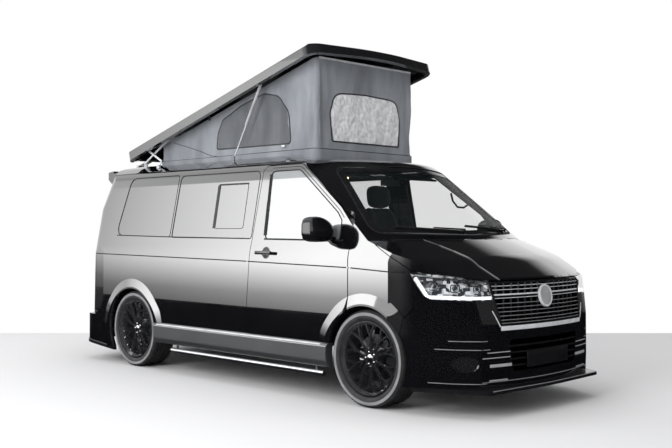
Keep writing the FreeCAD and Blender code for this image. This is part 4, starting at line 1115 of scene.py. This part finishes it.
def stuffed(name, stands_for, shape, cap, seams):
    """Padded piece blown up by a short cloth simulation, then sewn along its seams."""
    o = Batch().add(*shape).done(name, LEATHER, "seat_leather")
    start = [v.co.copy() for v in o.data.vertices]
    c = o.modifiers.new("cloth", "CLOTH")
    s = c.settings
    s.quality, s.mass = 4, 0.3
    s.tension_stiffness = s.compression_stiffness = 12
    s.bending_stiffness = 0.6
    s.use_pressure, s.uniform_pressure_force = True, 4
    s.effector_weights.gravity = 0
    c.point_cache.frame_start, c.point_cache.frame_end = 1, CLOTH_FRAMES
    for k in range(1, CLOTH_FRAMES + 1):
        scene.frame_set(k)
    done = o.evaluated_get(bpy.context.evaluated_depsgraph_get())
    new = [v.co.copy() for v in done.data.vertices]
    o.modifiers.remove(c)
    scene.frame_set(1)
    for v, a, b in zip(o.data.vertices, start, new):
        d = b - a
        v.co = a + d * min(1, cap / max(d.length, 1e-9))
    o.data.update()
    normals = [v.normal.copy() for v in o.data.vertices]
    for v, nrm in zip(o.data.vertices, normals):
        dip = sum(depth * math.exp(-(value(v.co) / SEAM_WIDTH) ** 2) for value, depth in seams)
        v.co = v.co - nrm * dip
    sub = o.modifiers.new("smooth", "SUBSURF")
    sub.levels = sub.render_levels = 1
    for p in o.data.polygons:
        p.use_smooth = True
    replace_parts(o, stands_for)


def hollow(q, depth):
    """Depth of the hollow between the side bolsters."""
    return depth * (1 - min(1, abs(q.y) / 0.72) ** 3)


def dished(q):
    return Vector((q.x, q.y, q.z - hollow(q, 0.22) * (q.z > 0)))


def scooped(q):
    return Vector((q.x - hollow(q, 0.35) * (q.x > 0), q.y * (1 - 0.14 * max(0, q.z)), q.z))


LEAN = math.atan2(-0.19, 0.62)
for s, tag in ((-1, "right"), (1, "left")):
    y = 0.380 * s
    stuffed("seat_cushion_" + tag, "front_seats",
            pillow((0.470, 0.470, 0.115), (0.845, y, 0.780), 0.03, 6, 20, dished), 0.012,
            [(lambda p, y=y: abs(p.y - y) - 0.150, 0.006), (lambda p: p.x - 0.90, 0.005)])
    stuffed("seat_back_" + tag, "front_seats",
            pillow((0.100, 0.465, 0.680), (0.506, y, 1.153), LEAN, 6, 20, scooped), 0.012,
            [(lambda p, y=y: abs(p.y - y) - 0.140, 0.006), (lambda p: p.z - 1.24, 0.005),
             (lambda p: p.z - 1.02, 0.005)])
    stuffed("headrest_" + tag, "front_seats",
            pillow((0.092, 0.262, 0.200), (0.440, y, 1.570), -0.12, 3.5, 14), 0.008,
            [(lambda p: p.x - 0.435, 0.004)])
    base = Batch()
    base.slab(0.62, 1.02, y - 0.185, y + 0.185, 0.432, 0.715, 0.02)
    base.slab(0.56, 1.04, y - 0.225, y + 0.225, 0.690, 0.722, 0.012)
    for dy in (-0.05, 0.05):
        base.tube([(0.430, y + dy, 1.42), (0.437, y + dy, 1.52)], 0.006, 10)
    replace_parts(base.done("seat_base_" + tag, TRIM, "trim_plastic"), "front_seats")

for k, (x, z, size, turn) in enumerate((
        (-1.53, 0.715, (0.70, 1.08, 0.13), 0.0), (-1.225, 1.08, (0.14, 1.08, 0.58), -0.05))):
    stuffed("bench_pad_%d" % k, "rear_bench", pillow(size, (x, 0, z), turn, 7, 22), 0.010,
            [(lambda p: abs(p.y), 0.006), (lambda p: abs(p.y) - 0.36, 0.004)])
plinth = Batch().slab(-1.89, -1.14, -0.555, 0.555, 0.432, 0.648, 0.01)
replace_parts(plinth.done("bench_box", BOARD, "cabinet_board"), "rear_bench")

# ---- kitchen unit
lo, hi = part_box("kitchen_unit")
fronts, knobs = Batch(), Batch()
for i in range(3):
    x0 = lo.x + 0.02 + i * 0.385
    for z0, z1 in ((lo.z + 0.05, lo.z + 0.43), (lo.z + 0.445, hi.z - 0.045)):
        fronts.slab(x0, x0 + 0.37, hi.y - 0.001, hi.y + 0.014, z0, z1, 0.004)
        knobs.tube([(x0 + 0.135, hi.y + 0.03, z1 - 0.04), (x0 + 0.235, hi.y + 0.03, z1 - 0.04)], 0.006)
        for x in (x0 + 0.145, x0 + 0.225):
            knobs.tube([(x, hi.y + 0.01, z1 - 0.04), (x, hi.y + 0.031, z1 - 0.04)], 0.005)
fronts.done("kitchen_fronts", BOARD, "cabinet_board")
knobs.done("kitchen_handles", SILVER, "satin_metal")
Batch().slab(lo.x - 0.004, hi.x + 0.004, lo.y + 0.01, hi.y + 0.02, hi.z - 0.03, hi.z + 0.002, 0.005).done(
    "kitchen_worktop", TOP, "cabinet_board")
hob = Batch().slab(lo.x + 0.12, lo.x + 0.58, lo.y + 0.05, hi.y - 0.04, hi.z + 0.001, hi.z + 0.008, 0.003)
for dx in (0.23, 0.47):
    hob.tube([(lo.x + dx + 0.075 * math.cos(a), (lo.y + hi.y) / 2 + 0.075 * math.sin(a), hi.z + 0.010)
              for a in circle(36)], 0.003, 6, True)
hob.done("kitchen_hob", GLOSS, "gloss_trim")

# ---- tailgate fittings
rear_skin = tree("tailgate", "tailgate_window", "rear_bumper")


def rear_at(y, z, off=0.0):
    p, n = draped(rear_skin, [(y, z)], "rear")[0]
    return p + n * off


glow = Batch()
for side in (-1, 1):
    glow.strip(run(rear_skin, (side * 0.56, 0.520), (side * 0.73, 0.520), 8, "rear"), 0.030, 0.004, False)
glow.done("rear_reflectors", RED, "red_lens")
fit = Batch()
fit.tube([rear_at(0.0, 1.205, 0.012), rear_at(-0.16, 1.255, 0.020), rear_at(-0.32, 1.310, 0.016)],
         [0.012, 0.007, 0.005])
fit.strip(run(rear_skin, (-0.12, 1.240), (-0.42, 1.355), 12, "rear"), 0.007, 0.012, False)
hx = min(rear_at(y, z).x for y in (-0.1, 0, 0.1) for z in (1.02, 1.05))
fit.slab(hx - 0.014, hx + 0.004, -0.13, 0.13, 1.018, 1.048, 0.006)
fit.done("tailgate_fittings", TRIM, "trim_plastic", "tailgate")
px = min(rear_at(y, z).x for y in (-0.25, 0, 0.25) for z in (0.80, 0.90))
Batch().slab(px - 0.006, px + 0.003, -0.26, 0.26, 0.795, 0.909, 0.003).done(
    "rear_plate_blank", GLOSS, "gloss_trim", "tailgate")
